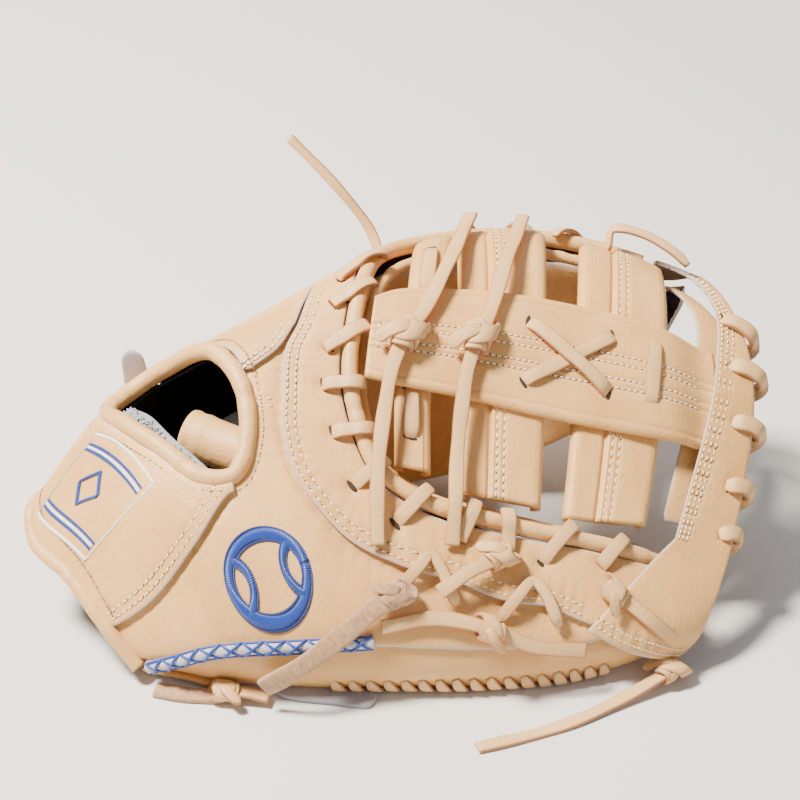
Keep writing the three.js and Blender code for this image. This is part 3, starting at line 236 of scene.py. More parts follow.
# ---- lines ----
def smooth_line(knots, spacing=0.5, closed=False):
    """Points of a centripetal spline through the knots, evenly spaced."""
    knots = np.asarray(knots, float)
    if len(knots) == 2 and not closed:
        count = max(2, int(np.linalg.norm(knots[1] - knots[0]) / spacing) + 1)
        return knots[0] + np.linspace(0, 1, count)[:, None] * (knots[1] - knots[0])
    if closed:
        padded = np.vstack([knots[-1], knots, knots[0], knots[1]])
    else:
        padded = np.vstack([2 * knots[0] - knots[1], knots, 2 * knots[-1] - knots[-2]])
    runs = []
    for i in range(1, len(padded) - 2):
        a, b, c, d = padded[i - 1:i + 3]
        t0 = 0.0
        t1 = t0 + max(np.linalg.norm(b - a), 1e-6) ** 0.5
        t2 = t1 + max(np.linalg.norm(c - b), 1e-6) ** 0.5
        t3 = t2 + max(np.linalg.norm(d - c), 1e-6) ** 0.5
        t = np.linspace(t1, t2, 33)[:-1, None]
        ab = (t1 - t) / (t1 - t0) * a + (t - t0) / (t1 - t0) * b
        bc = (t2 - t) / (t2 - t1) * b + (t - t1) / (t2 - t1) * c
        cd = (t3 - t) / (t3 - t2) * c + (t - t2) / (t3 - t2) * d
        abc = (t2 - t) / (t2 - t0) * ab + (t - t0) / (t2 - t0) * bc
        bcd = (t3 - t) / (t3 - t1) * bc + (t - t1) / (t3 - t1) * cd
        runs.append((t2 - t) / (t2 - t1) * abc + (t - t1) / (t2 - t1) * bcd)
    runs.append(padded[-2][None])
    return even(np.vstack(runs), spacing)


def lengths_along(points):
    return np.concatenate([[0], np.cumsum(np.linalg.norm(np.diff(points, axis=0), axis=1))])


def even(points, spacing):
    far = lengths_along(points)
    count = max(2, int(round(far[-1] / spacing)) + 1)
    at = np.linspace(0, far[-1], count)
    return np.column_stack([np.interp(at, far, points[:, k]) for k in range(points.shape[1])])


def flat(knots):
    return np.asarray(knots, float) * np.array([FLAT_LENGTH, FLAT_WIDTH])


def moved(line, distance, closed=False):
    """A pattern line moved to its left by millimetres."""
    points = flat(line)
    if closed:
        run = np.roll(points, -1, axis=0) - np.roll(points, 1, axis=0)
    else:
        run = np.gradient(points, axis=0)
    run /= np.linalg.norm(run, axis=1)[:, None]
    shifted = points + np.column_stack([-run[:, 1], run[:, 0]]) * distance
    return [tuple(p) for p in shifted / np.array([FLAT_LENGTH, FLAT_WIDTH])]


HOLE_EDGE = moved(HAND_HOLE, -HOLE_TUCK, True)


def offset_line(line, distance, spacing=0.5):
    """A smooth flat line at a distance to the left of a pattern line, in millimetres."""
    points = smooth_line(flat(line), spacing)
    run = np.gradient(points, axis=0)
    run /= np.linalg.norm(run, axis=1)[:, None]
    return points + np.column_stack([-run[:, 1], run[:, 0]]) * distance


# ---- meshes ----
class Scatter:
    """Copies of one small plump shape, joined into a single mesh where finished() expects a bmesh."""

    def __init__(self, sides=8, rings=6):
        bm = bmesh.new()
        bmesh.ops.create_uvsphere(bm, u_segments=sides, v_segments=rings, radius=1,
                                  matrix=Matrix.Rotation(math.pi / 2, 4, "Y"))
        self.points = np.array([v.co for v in bm.verts])
        self.faces = [[v.index for v in face.verts] for face in bm.faces]
        self.places = []
        bm.free()

    def add(self, place):
        self.places.append(np.array(place))

    def to_mesh(self, mesh):
        count = len(self.points)
        spots = [self.points @ place[:3, :3].T + place[:3, 3] for place in self.places]
        faces = [[i + k * count for i in face] for k in range(len(self.places)) for face in self.faces]
        mesh.from_pydata(np.vstack(spots).tolist(), [], faces)

    def free(self):
        self.places.clear()


def finished(name, bm, materials, smooth=True):
    mesh = bpy.data.meshes.new(name)
    bm.to_mesh(mesh)
    bm.free()
    for material in materials:
        mesh.materials.append(material)
    if smooth:
        mesh.polygons.foreach_set("use_smooth", [True] * len(mesh.polygons))
    piece = bpy.data.objects.new(name, mesh)
    bpy.context.scene.collection.objects.link(piece)
    return piece


def stands_for(piece, *nodes):
    """Puts a finished piece on the body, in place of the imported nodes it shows."""
    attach(piece, "root")
    if nodes:
        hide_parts(*nodes)


def inside_of(points, outline):
    """Which flat points lie inside a closed outline."""
    x, y = points[:, 0], points[:, 1]
    inside = np.zeros(len(points), bool)
    ax, ay = outline[:, 0], outline[:, 1]
    bx, by = np.roll(ax, -1), np.roll(ay, -1)
    for i in range(len(outline)):
        if ay[i] == by[i]:
            continue
        crosses = ((ay[i] > y) != (by[i] > y)) & (x < (bx[i] - ax[i]) * (y - ay[i]) / (by[i] - ay[i]) + ax[i])
        inside ^= crosses
    return inside


def nearest(points, line):
    """Distance to, and position along, a dense flat line for each point."""
    tree = kdtree.KDTree(len(line))
    for i, p in enumerate(line):
        tree.insert((p[0], p[1], 0), i)
    tree.balance()
    found = [tree.find((p[0], p[1], 0)) for p in points]
    return np.array([f[2] for f in found]), np.array([f[1] for f in found])


def outline_of(runs):
    points = np.vstack([smooth_line(flat(run), 1.0)[:-1] for run in runs])
    return even(np.vstack([points, points[:1]]), 0.5)[:-1]


def ripple(points, size, seed):
    return np.array([noise.noise(Vector((p[0] / size, p[1] / size, seed))) for p in points])


def panel(name, runs, holes, lift, wall, materials, place=on, cell=1.2, grooves=(), dimples=(), outward=1,
          swell=0.5, edge_round=0.7, puckers=0.16, seed=1.0):
    """A piece of leather cut flat as a fine grid and formed over the mitt, with rounded edges."""
    outline = outline_of(runs)
    cutouts = [outline_of(hole) for hole in holes]
    low, high = outline.min(0), outline.max(0)
    columns, rows = (np.ceil((high - low) / cell)).astype(int)
    bm = bmesh.new()
    bmesh.ops.create_grid(bm, x_segments=int(columns), y_segments=int(rows), size=0.5)
    bmesh.ops.scale(bm, vec=(high[0] - low[0], high[1] - low[1], 1), verts=bm.verts)
    bmesh.ops.translate(bm, vec=((high[0] + low[0]) / 2, (high[1] + low[1]) / 2, 0), verts=bm.verts)
    centres = np.array([f.calc_center_median()[:2] for f in bm.faces])
    keep = inside_of(centres, outline)
    for cutout in cutouts:
        keep &= ~inside_of(centres, cutout)
    faces = list(bm.faces)
    bmesh.ops.delete(bm, geom=[f for f, k in zip(faces, keep) if not k], context="FACES")
    ears = [f for f in bm.faces if sum(len(e.link_faces) == 1 for e in f.edges) >= 3]
    bmesh.ops.delete(bm, geom=ears, context="FACES")
    boundary = [v for v in bm.verts if v.is_boundary]
    border = np.vstack([outline] + cutouts)
    _, index = nearest([v.co for v in boundary], border)
    for v, i in zip(boundary, index):
        v.co.x, v.co.y = border[i]
    bmesh.ops.remove_doubles(bm, verts=boundary, dist=0.4 * cell)
    bmesh.ops.dissolve_degenerate(bm, edges=bm.edges[:], dist=0.05)
    inner = [v for v in bm.verts if not v.is_boundary]
    for _ in range(2):
        bmesh.ops.smooth_vert(bm, verts=inner, factor=0.4, use_axis_x=True, use_axis_y=True)
    bmesh.ops.inset_region(bm, faces=bm.faces[:], use_boundary=True, use_even_offset=False, thickness=0.45)
    points = np.array([v.co[:2] for v in bm.verts])
    to_edge, _ = nearest(points, border)
    relief = -edge_round * np.maximum(1 - to_edge / 1.3, 0) ** 2
    relief += swell * ripple(points, 34, seed) + 0.22 * swell * ripple(points, 11, seed + 7)
    # The seam mark: painted shade that darkens the colour in the seam grooves and the lace-hole dimples.
    seam = np.zeros(len(points))
    calm = 1 - np.exp(-(to_edge / 3.0) ** 2)
    for line, depth in grooves:
        gap, at = nearest(points, line)
        seam = np.maximum(seam, np.exp(-(gap / 1.0) ** 2) * depth / 0.5)
        relief -= depth * np.exp(-(gap / 1.1) ** 2)
        gather = np.sin(at * 0.5 * 2 * math.pi / 6.1 + 2 * np.sin(at * 0.07))
        relief += puckers * calm * gather * np.exp(-gap / 4.5)
    for u, v, size, depth in dimples:
        gap = np.hypot(points[:, 0] - u * FLAT_LENGTH, points[:, 1] - v * FLAT_WIDTH)
        relief -= depth * np.exp(-(gap / size) ** 2)
        seam = np.maximum(seam, 0.6 * np.exp(-(gap / (0.75 * size)) ** 2))
    formed = place(points[:, 0] / FLAT_LENGTH, points[:, 1] / FLAT_WIDTH,
                   lift + (wall if outward > 0 else 0) + outward * relief)
    formed = to_scene(formed)
    uv = bm.loops.layers.uv.new("pattern")
    edge_mark = bm.verts.layers.float.new("edge")
    seam_shade_mark = bm.verts.layers.float.new("seam")
    for v in bm.verts:
        v[edge_mark] = float(max(1 - to_edge[v.index] / 0.8, 0))
        v[seam_shade_mark] = float(min(seam[v.index], 1))
    for face in bm.faces:
        for loop in face.loops:
            loop[uv].uv = points[loop.vert.index] / 1000
    for v, p in zip(bm.verts, formed):
        v.co = p
    if outward < 0:
        bmesh.ops.reverse_faces(bm, faces=bm.faces[:])
    piece = finished(name, bm, materials)
    shell = piece.modifiers.new("wall", "SOLIDIFY")
    shell.thickness = wall / 1000
    shell.offset = -1
    shell.use_even_offset = False
    shell.material_offset = 2
    shell.material_offset_rim = 1
    return piece


def rod(name, rings, sides, place, materials, closed=False, cut_mark=None, uv_size=(0.1, 0.02), bm=None):
    """A closed rod: a cylinder cut into rings, each vertex placed by its share of the way and its angle."""
    own = bm is None
    work = bmesh.new()
    made = bmesh.ops.create_cone(work, cap_ends=not closed, cap_tris=False, segments=sides, radius1=1, radius2=1,
                                 depth=1)
    long = [e for e in work.edges if abs(e.verts[0].co.z - e.verts[1].co.z) > 0.5]
    bmesh.ops.subdivide_edges(work, edges=long, cuts=rings - 2)
    share = np.array([v.co.z + 0.5 for v in work.verts])
    angle = np.array([math.atan2(v.co.y, v.co.x) for v in work.verts]) % (2 * math.pi)
    angle = np.round((angle - angle[0]) / (2 * math.pi) * sides) % sides / sides
    uv = work.loops.layers.uv.new("pattern")
    cut = work.verts.layers.float.new("cut")
    for face in work.faces:
        around = [angle[loop.vert.index] for loop in face.loops]
        wraps = max(around) - min(around) > 0.5
        for loop, a in zip(face.loops, around):
            turn = a + 1 if wraps and a < 0.5 else a
            loop[uv].uv = (share[loop.vert.index] * uv_size[0], turn * uv_size[1])
    if cut_mark is not None:
        for v, c in zip(work.verts, cut_mark(angle)):
            v[cut] = float(c)
    spots = to_scene(place(share, angle))
    for v, p in zip(work.verts, spots):
        v.co = p
    if closed:
        bmesh.ops.remove_doubles(work, verts=work.verts, dist=2e-6)
    bmesh.ops.recalc_face_normals(work, faces=work.faces)
    if own:
        return finished(name, work, materials)
    mesh = bpy.data.meshes.new("part")
    work.to_mesh(mesh)
    work.free()
    bm.from_mesh(mesh)
    bpy.data.meshes.remove(mesh)
    return None


class Path:
    """A smooth path through points in millimetres, with the way its broad side faces."""

    def __init__(self, points, facing=None, closed=False):
        points = np.asarray(points, float)
        if facing is None:
            facing = np.tile([0, 0, 1.0], (len(points), 1))
        line = smooth_line(np.column_stack([points, np.asarray(facing, float) * 20]), 0.4, closed)
        self.points = line[:, :3]
        self.facing = line[:, 3:]
        self.far = lengths_along(self.points)
        self.length = self.far[-1]
        tangent = np.gradient(self.points, axis=0)
        if closed:
            tangent[0] = tangent[-1] = self.points[1] - self.points[-2]
        self.tangent = tangent / np.linalg.norm(tangent, axis=1)[:, None]

    def at(self, share):
        way = np.asarray(share) * self.length
        centre, tangent, facing = (np.column_stack([np.interp(way, self.far, table[:, k]) for k in range(3)])
                                   for table in (self.points, self.tangent, self.facing))
        tangent /= np.linalg.norm(tangent, axis=1)[:, None]
        side = np.cross(tangent, facing)
        side /= np.linalg.norm(side, axis=1)[:, None]
        return centre, tangent, side, np.cross(side, tangent)


def round_section(angle, width, thickness):
    """A flat section with round corners, for an angle given as a share of a turn."""
    a = np.asarray(angle) * 2 * math.pi
    power = 0.42  # 1 would be an ellipse, 0 a sharp rectangle
    x = np.sign(np.cos(a)) * np.abs(np.cos(a)) ** power
    y = np.sign(np.sin(a)) * np.abs(np.sin(a)) ** power
    return x * width / 2, y * thickness / 2


def side_mark(angle):
    a = np.asarray(angle) * 2 * math.pi
    return np.clip((np.abs(np.cos(a)) - 0.55) / 0.35, 0, 1)


def lace(name, path, material, width=LACE_WIDTH, thickness=LACE_THICKNESS, wobble=0.18, seed=0.0, sides=16,
         pinched=(True, True), tongue=0.0, bm=None):
    """A flat leather lace along a path, with rough cut sides. Pinched ends narrow into their slits."""
    rings = max(10, int(path.length / 1.3))

    def place(share, angle):
        centre, _, side, up = path.at(share)
        x, y = round_section(angle, width, thickness)
        stretch = 1 + 0.06 * np.sin(share * path.length / 5.3 + seed * 3)
        way = share * path.length
        stretch *= 1 - 0.4 * pinched[0] * np.exp(-(way / 2.4) ** 2)
        stretch *= 1 - 0.4 * pinched[1] * np.exp(-((path.length - way) / 2.4) ** 2)
        if tongue:
            past = np.clip((way - path.length + tongue) / tongue, 0, 0.985)
            stretch *= np.sqrt(1 - past ** 2)
        lift = wobble * np.sin(share * path.length / 7.1 + seed)
        cup = 0.12 * (x / (width / 2)) ** 2
        return centre + side * (x * stretch)[:, None] + up * (y - cup + lift)[:, None]

    return rod(name, rings, sides, place, [material], cut_mark=side_mark,
               uv_size=(path.length / 1000, 0.02), bm=bm)


def surface_path(rows, closed=False):
    rows = np.asarray(rows, float)
    points = on(rows[:, 0], rows[:, 1], rows[:, 2])
    return Path(points, normals_of(surface, rows[:, 0], rows[:, 1]), closed)


def tube(name, rows, radius, material, closed=False, wrinkle=0.25, seed=0.0):
    """A roll of leather along rows of (along, across, lift), with small folds over its top."""
    path = surface_path(rows, closed)

    def form(share, angle):
        centre, _, side, up = path.at(share)
        a = angle * 2 * math.pi
        way = share * path.length
        fold = np.sin(way / 2.1 + 3 * np.sin(way / 13 + seed) + 1.5 * np.sin(a)) * np.sin(way / 9.7 + seed) ** 2
        r = radius + wrinkle * fold * (0.5 + 0.5 * np.sin(a))
        return centre + side * (np.cos(a) * r)[:, None] + up * (np.sin(a) * r)[:, None]

    return rod(name, int(path.length / 1.5), 20, form, [material], closed=closed,
               uv_size=(path.length / 1000, 0.02))


def knot_of(bm, centre, direction, up, size=1.0, seed=0.0):
    """A knot in a flat lace: a broad band over the top, two tighter turns under it and a leaf-like end."""
    direction = direction / np.linalg.norm(direction)
    side = np.cross(direction, up)
    side /= np.linalg.norm(side)
    up = np.cross(side, direction)
    turns = [(0.62, 5.0, -1.4, 7.4), (-0.7, 4.3, 1.8, 5.6), (0.15, 3.6, 4.6, 4.6)]
    for i, (tilt, radius, shift, broad) in enumerate(turns):
        radius *= size

        def place(share, angle, tilt=tilt, radius=radius, shift=shift, broad=broad, i=i):
            turn = share * 2 * math.pi + seed
            out = side * np.cos(turn)[:, None] + up * (0.74 * np.sin(turn))[:, None]
            x, y = round_section(angle, broad * size, LACE_THICKNESS)
            x = x * (1 + 0.16 * np.sin(turn + i) - 0.12 * np.cos(2 * turn + seed))
            along = tilt * radius * np.sin(turn + 0.5) + shift * size + x
            reach = radius + y + 0.35 * np.cos(2 * turn + seed + i) - 0.3 * (2 * x / (broad * size)) ** 2
            return centre + direction * along[:, None] + out * reach[:, None]

        rod("turn", 44, 14, place, [], closed=True, cut_mark=side_mark, uv_size=(0.035, 0.02), bm=bm)
    leaf = [centre + side * a * size + direction * b * size + up * c * size
            for a, b, c in ((0.5, -1, 3.2), (3.6, 2.2, 3.6), (6.4, 5.6, 2.2), (8.2, 9.2, 0.2))]
    lace("leaf", Path(leaf, np.tile(up, (4, 1))), None, width=5.0 * size, thickness=1.7, seed=seed,
         pinched=(True, False), tongue=3.0, bm=bm)


def stitches(name, rows, thread_look, pitch=3.0, size=(1.2, 0.46, 0.4)):
    """Thread stitches along flat lines, with dark marks of painted shade in their needle holes; rows are (flat points
    in mm, lift).
    """
    threads, holes = Scatter(), Scatter(6, 4)
    for line, lift in rows:
        far = lengths_along(line)
        count = max(int(far[-1] / pitch), 1)
        at = (np.arange(count) + 0.5) * far[-1] / count

        def spot(way, far=far, line=line):
            return np.interp(way, far, line[:, 0]) / FLAT_LENGTH, np.interp(way, far, line[:, 1]) / FLAT_WIDTH

        run = on(*spot(at + 0.4), lift) - on(*spot(at - 0.4), lift)
        place_stitches(threads, holes, on(*spot(at), lift), run, normals_of(surface, *spot(at)), size, pitch)
    needle_holes(name, holes)
    return finished(f"{name}.thread", threads, [thread_look])


def needle_holes(name, holes):
    # The needle holes are dark flattened marks of painted shade.
    stands_for(finished(f"{name}_holes.leather", holes, [LOOK["slit"]]))


def place_stitches(threads, holes, centres, runs, normals, size, pitch=3.0):
    """One plump thread for each centre, and a dark mark of painted shade for the hole where it starts."""
    for i, (centre, run, normal) in enumerate(zip(to_scene(centres), runs, normals)):
        x = Vector(run).normalized()
        z = (Vector(normal) - Vector(normal).dot(x) * x).normalized()
        y = z.cross(x)
        turn = Matrix((x, y, z)).transposed().to_4x4()
        lean = Matrix.Rotation(0.09 + 0.05 * math.sin(i * 2.4), 4, "Z")
        scale = Matrix.Diagonal((size[0] / 1000, size[1] / 1000, size[2] / 1000, 1))
        place = Matrix.Translation(Vector(centre)) @ turn
        threads.add(place @ lean @ scale)
        if holes is not None:
            sunk = Matrix.Translation((-pitch / 2000, 0, -size[2] / 2000))
            pierced = Matrix.Diagonal((0.00042, 0.0004, 0.00022, 1))
            holes.add(place @ sunk @ pierced)


def slit(bm, u, v, lift, along, wide=3.5):
    """A slit in the leather, lying across a lace that runs in a pattern direction: a flat dark mark of painted shade.
    """
    here = on(u, v, lift)
    beside = on(u - along[1] * 0.01, v + along[0] * 0.01 * FLAT_LENGTH / FLAT_WIDTH, lift)
    normal = normals_of(surface, np.array([u]), np.array([v]))
    place_stitches(bm, None, here, beside - here, normal, (wide, 1.2, 0.3))


# ---- materials ----
def node_group(name, sockets):
    group = bpy.data.node_groups.new(name, "ShaderNodeTree")
    for label, way, kind, default in sockets:
        socket = group.interface.new_socket(name=label, in_out=way, socket_type=kind)
        if default is not None:
            socket.default_value = default
    return group


def put(tree, kind, inputs=None, **values):
    """A node with its own settings, and values on its named or numbered sockets."""
    node = tree.nodes.new(kind)
    for key, value in values.items():
        setattr(node, key, value)
    for key, value in (inputs or {}).items():
        node.inputs[key].default_value = value
    return node


def join(tree, start, end):
    tree.links.new(start, end)


def new_material(name, **inputs):
    """A material with its tree and shader; the shader's sockets are named with low lines for spaces."""
    material = bpy.data.materials.new(name)
    material.use_nodes = True
    shader = material.node_tree.nodes["Principled BSDF"]
    for key, value in inputs.items():
        shader.inputs[key.replace("_", " ")].default_value = value
    return material, material.node_tree, shader


def two_tone(tree, factor, deep, color):
    """A mix of two colours by a factor; its result is socket 2."""
    tone = put(tree, "ShaderNodeMix", {6: (*deep, 1), 7: (*color, 1)}, data_type="RGBA")
    join(tree, factor, tone.inputs["Factor"])
    return tone.outputs[2]


def bumped(tree, shader, height, strength, distance):
    relief = put(tree, "ShaderNodeBump", {"Strength": strength, "Distance": distance})
    join(tree, height, relief.inputs["Height"])
    join(tree, relief.outputs["Normal"], shader.inputs["Normal"])


def grain_group():
    """Fine pebbled leather grain: a height and a large soft mottle."""
    group = node_group("leather_grain", [
        ("Scale", "INPUT", "NodeSocketFloat", 900.0),
        ("Height", "OUTPUT", "NodeSocketFloat", None),
        ("Mottle", "OUTPUT", "NodeSocketFloat", None),
        ("Fine", "OUTPUT", "NodeSocketFloat", None),
    ])
    source = put(group, "NodeGroupInput")
    sink = put(group, "NodeGroupOutput")
    uv = put(group, "ShaderNodeUVMap", uv_map="pattern")
    cells = put(group, "ShaderNodeTexVoronoi", {"Smoothness": 0.6}, feature="SMOOTH_F1")
    fine = put(group, "ShaderNodeTexNoise", {"Scale": 420, "Detail": 6, "Roughness": 0.65})
    broad = put(group, "ShaderNodeTexNoise", {"Scale": 26, "Detail": 5, "Roughness": 0.6})
    join(group, source.outputs["Scale"], cells.inputs["Scale"])
    for node in (cells, fine, broad):
        join(group, uv.outputs["UV"], node.inputs["Vector"])
    mix = put(group, "ShaderNodeMath", {1: 0.55}, operation="MULTIPLY_ADD")
    join(group, cells.outputs["Distance"], mix.inputs[0])
    join(group, fine.outputs["Fac"], mix.inputs[2])
    join(group, mix.outputs[0], sink.inputs["Height"])
    join(group, broad.outputs["Fac"], sink.inputs["Mottle"])
    join(group, fine.outputs["Fac"], sink.inputs["Fine"])
    return group


def edge_tint_and_seam_shade_group():
    """Colour tinted by the marks stored on the piece: grey at cut edges and lace sides, and darkened with painted
    shade along the seams.
    """
    group = node_group("edge_tint_and_seam_shade", [
        ("Color", "INPUT", "NodeSocketColor", (0.8, 0.6, 0.4, 1)),
        ("Edge Color", "INPUT", "NodeSocketColor", (0.8, 0.6, 0.4, 1)),
        ("Seam Shade Color", "INPUT", "NodeSocketColor", (0.4, 0.25, 0.15, 1)),
        ("Edge", "INPUT", "NodeSocketFloat", 0.0),
        ("Seam", "INPUT", "NodeSocketFloat", 0.0),
        ("Mottle", "INPUT", "NodeSocketFloat", 0.5),
        ("Color", "OUTPUT", "NodeSocketColor", None),
    ])
    source = put(group, "NodeGroupInput")
    sink = put(group, "NodeGroupOutput")
    rough = put(group, "ShaderNodeMath", operation="MULTIPLY", use_clamp=True)
    push = put(group, "ShaderNodeMath", {1: 0.55}, operation="ADD")
    join(group, source.outputs["Mottle"], push.inputs[0])
    join(group, source.outputs["Edge"], rough.inputs[0])
    join(group, push.outputs[0], rough.inputs[1])
    edge = put(group, "ShaderNodeMix", data_type="RGBA")
    join(group, rough.outputs[0], edge.inputs["Factor"])
    join(group, source.outputs["Color"], edge.inputs[6])
    join(group, source.outputs["Edge Color"], edge.inputs[7])
    # Painted shade: the seam mark mixes the colour towards the dark seam-shade colour.
    seam = put(group, "ShaderNodeMix", data_type="RGBA")
    ease = put(group, "ShaderNodeMath", {1: 0.38}, operation="MULTIPLY", use_clamp=True)
    join(group, source.outputs["Seam"], ease.inputs[0])
    join(group, ease.outputs[0], seam.inputs["Factor"])
    join(group, edge.outputs[2], seam.inputs[6])
    join(group, source.outputs["Seam Shade Color"], seam.inputs[7])
    join(group, seam.outputs[2], sink.inputs["Color"])
    return group


def leather(name, base, deep, edge, seam_shade_color, roughness=0.42, grain=900.0, bump=0.42, edge_attribute="edge",
            coat=0.06, specular=0.4):
    """Leather: grain from the pattern, mottled between two colours, tinted at its cut edges and darkened with painted
    shade at its seams, by the marks on the piece.
    """
    material, tree, shader = new_material(name, Coat_Weight=coat, Coat_Roughness=0.45, Specular_IOR_Level=specular)
    grain_node = put(tree, "ShaderNodeGroup", node_tree=bpy.data.node_groups["leather_grain"])
    grain_node.inputs["Scale"].default_value = grain
    spread = put(tree, "ShaderNodeMapRange", {"From Min": 0.34, "From Max": 0.62})
    join(tree, grain_node.outputs["Mottle"], spread.inputs["Value"])
    edge_tint_and_shade = put(tree, "ShaderNodeGroup", node_tree=bpy.data.node_groups["edge_tint_and_seam_shade"])
    edge_tint_and_shade.inputs["Edge Color"].default_value = (*edge, 1)
    edge_tint_and_shade.inputs["Seam Shade Color"].default_value = (*seam_shade_color, 1)
    join(tree, two_tone(tree, spread.outputs["Result"], deep, base), edge_tint_and_shade.inputs["Color"])
    join(tree, grain_node.outputs["Fine"], edge_tint_and_shade.inputs["Mottle"])
    mark = put(tree, "ShaderNodeAttribute", attribute_name=edge_attribute)
    join(tree, mark.outputs["Fac"], edge_tint_and_shade.inputs["Edge"])
    # The seam mark brings in painted shade along the seam grooves and dimples.
    seam = put(tree, "ShaderNodeAttribute", attribute_name="seam")
    join(tree, seam.outputs["Fac"], edge_tint_and_shade.inputs["Seam"])
    join(tree, edge_tint_and_shade.outputs["Color"], shader.inputs["Base Color"])
    rough = put(tree, "ShaderNodeMapRange", {"To Min": roughness - 0.08, "To Max": roughness + 0.14})
    join(tree, grain_node.outputs["Fine"], rough.inputs["Value"])
    join(tree, rough.outputs["Result"], shader.inputs["Roughness"])
    bumped(tree, shader, grain_node.outputs["Height"], bump, 0.0006)
    return material


def thread(name, color, roughness=0.5):
    """Sewing thread with a fine twist."""
    material, tree, shader = new_material(name, Base_Color=(*color, 1), Roughness=roughness, Sheen_Weight=0.25)
    place = put(tree, "ShaderNodeTexCoord")
    twist = put(tree, "ShaderNodeTexNoise", {"Scale": 2600, "Detail": 3})
    join(tree, place.outputs["Object"], twist.inputs["Vector"])
    bumped(tree, shader, twist.outputs["Fac"], 0.4, 0.0002)
    return material


def satin(name, color, deep, ribs=3800.0):
    """Satin stitch: fine parallel threads across the stroke."""
    material, tree, shader = new_material(name, Roughness=0.38, Sheen_Weight=0.3)
    uv = put(tree, "ShaderNodeUVMap", uv_map="pattern")
    wave = put(tree, "ShaderNodeTexWave", {"Scale": ribs / 6.28, "Distortion": 0.6, "Detail": 2},
               wave_type="BANDS", bands_direction="X")
    join(tree, uv.outputs["UV"], wave.inputs["Vector"])
    join(tree, two_tone(tree, wave.outputs["Fac"], deep, color), shader.inputs["Base Color"])
    bumped(tree, shader, wave.outputs["Fac"], 0.6, 0.0003)
    return material


def fuzzy(name, color, deep, scale, strength=0.9):
    """Fleece, felt, suede and the rough flesh side of leather."""
    material, tree, shader = new_material(name, Roughness=0.95, Sheen_Weight=0.5, Sheen_Roughness=0.6)
    uv = put(tree, "ShaderNodeUVMap", uv_map="pattern")
    tufts = put(tree, "ShaderNodeTexNoise", {"Scale": scale, "Detail": 8, "Roughness": 0.75})
    join(tree, uv.outputs["UV"], tufts.inputs["Vector"])
    spread = put(tree, "ShaderNodeMapRange", {"From Min": 0.35, "From Max": 0.65})
    join(tree, tufts.outputs["Fac"], spread.inputs["Value"])
    join(tree, two_tone(tree, spread.outputs["Result"], deep, color), shader.inputs["Base Color"])
    bumped(tree, shader, tufts.outputs["Fac"], strength, 0.0012)
    return material


LOOK = {}


def darker(color, share):
    return tuple(c * share for c in color)


def make_materials(settings):
    """Fills LOOK with the materials that the pieces share."""
    grain_group()
    edge_tint_and_seam_shade_group()
    shade, roll, lacing, blue = (tuple(color) for color in (settings.leather_color, settings.roll_color,
                                                            settings.lace_color, settings.thread_color))
    deep = tuple(c * k for c, k in zip(shade, (0.84, 0.79, 0.7)))
    grey = (0.42, 0.41, 0.47)
    # The dark colour that the seam mark mixes in: painted shade in seam grooves and lace-hole dimples.
    seam_shade_color = (0.36, 0.18, 0.06)
    LOOK["shell"] = leather("shell_leather", shade, deep, grey, seam_shade_color)
    LOOK["raw"] = leather("raw_edge", (0.46, 0.44, 0.5), (0.36, 0.33, 0.36), (0.5, 0.42, 0.36), seam_shade_color,
                          roughness=0.85, bump=0.6, coat=0.0)
    # Near-black painted shade for the inside of the mitt: its inner faces and the sheets that close the hand room.
    LOOK["lining"] = leather("inner_lining", (0.016, 0.014, 0.013), (0.008, 0.008, 0.008), (0.03, 0.025, 0.02), seam_shade_color,
                             roughness=0.8, coat=0.0, specular=0.08)
    # The flesh side's own brown, darkened further as painted shade for the inner faces.
    LOOK["flesh"] = leather("flesh_side_and_shade", (0.17, 0.092, 0.042), (0.11, 0.058, 0.026), grey, seam_shade_color,
                            roughness=0.9, bump=0.5, coat=0.0)
    LOOK["edge"] = leather("edge_leather", roll, darker(roll, 0.86), grey, seam_shade_color)
    LOOK["lace"] = leather("lace_leather", lacing, darker(lacing, 0.86), (0.42, 0.2, 0.09), seam_shade_color,
                           roughness=0.5, grain=1300.0, bump=0.35, edge_attribute="cut", coat=0.03)
    # Near-black painted shade in slits and needle holes.
    LOOK["slit"] = leather("painted_hole_shade", (0.05, 0.028, 0.015), (0.03, 0.018, 0.01), (0.05, 0.03, 0.02), seam_shade_color,
                           roughness=0.9, coat=0.0)
    LOOK["rough"] = fuzzy("rough_flesh", (0.62, 0.35, 0.16), (0.34, 0.17, 0.07), 520)
    LOOK["suede"] = fuzzy("grey_suede", (0.46, 0.45, 0.5), (0.3, 0.29, 0.33), 900, 0.6)
    LOOK["fleece"] = fuzzy("grey_fleece", (0.44, 0.46, 0.52), (0.24, 0.25, 0.3), 480, 1.0)
    LOOK["felt"] = fuzzy("felt_core", (0.68, 0.68, 0.72), (0.4, 0.4, 0.46), 800, 0.7)
    LOOK["cream_thread"] = thread("cream_thread", (0.88, 0.76, 0.56))
    LOOK["brown_thread"] = thread("brown_thread", (0.2, 0.105, 0.05), 0.6)
    LOOK["white_thread"] = thread("white_thread", (0.82, 0.82, 0.8))
    LOOK["blue_thread"] = thread("blue_thread", darker(blue, 0.7), 0.4)
    LOOK["satin"] = satin("blue_satin", blue, darker(blue, 0.45))
    LOOK["navy"] = satin("navy_satin", (0.008, 0.03, 0.19), (0.004, 0.012, 0.09))


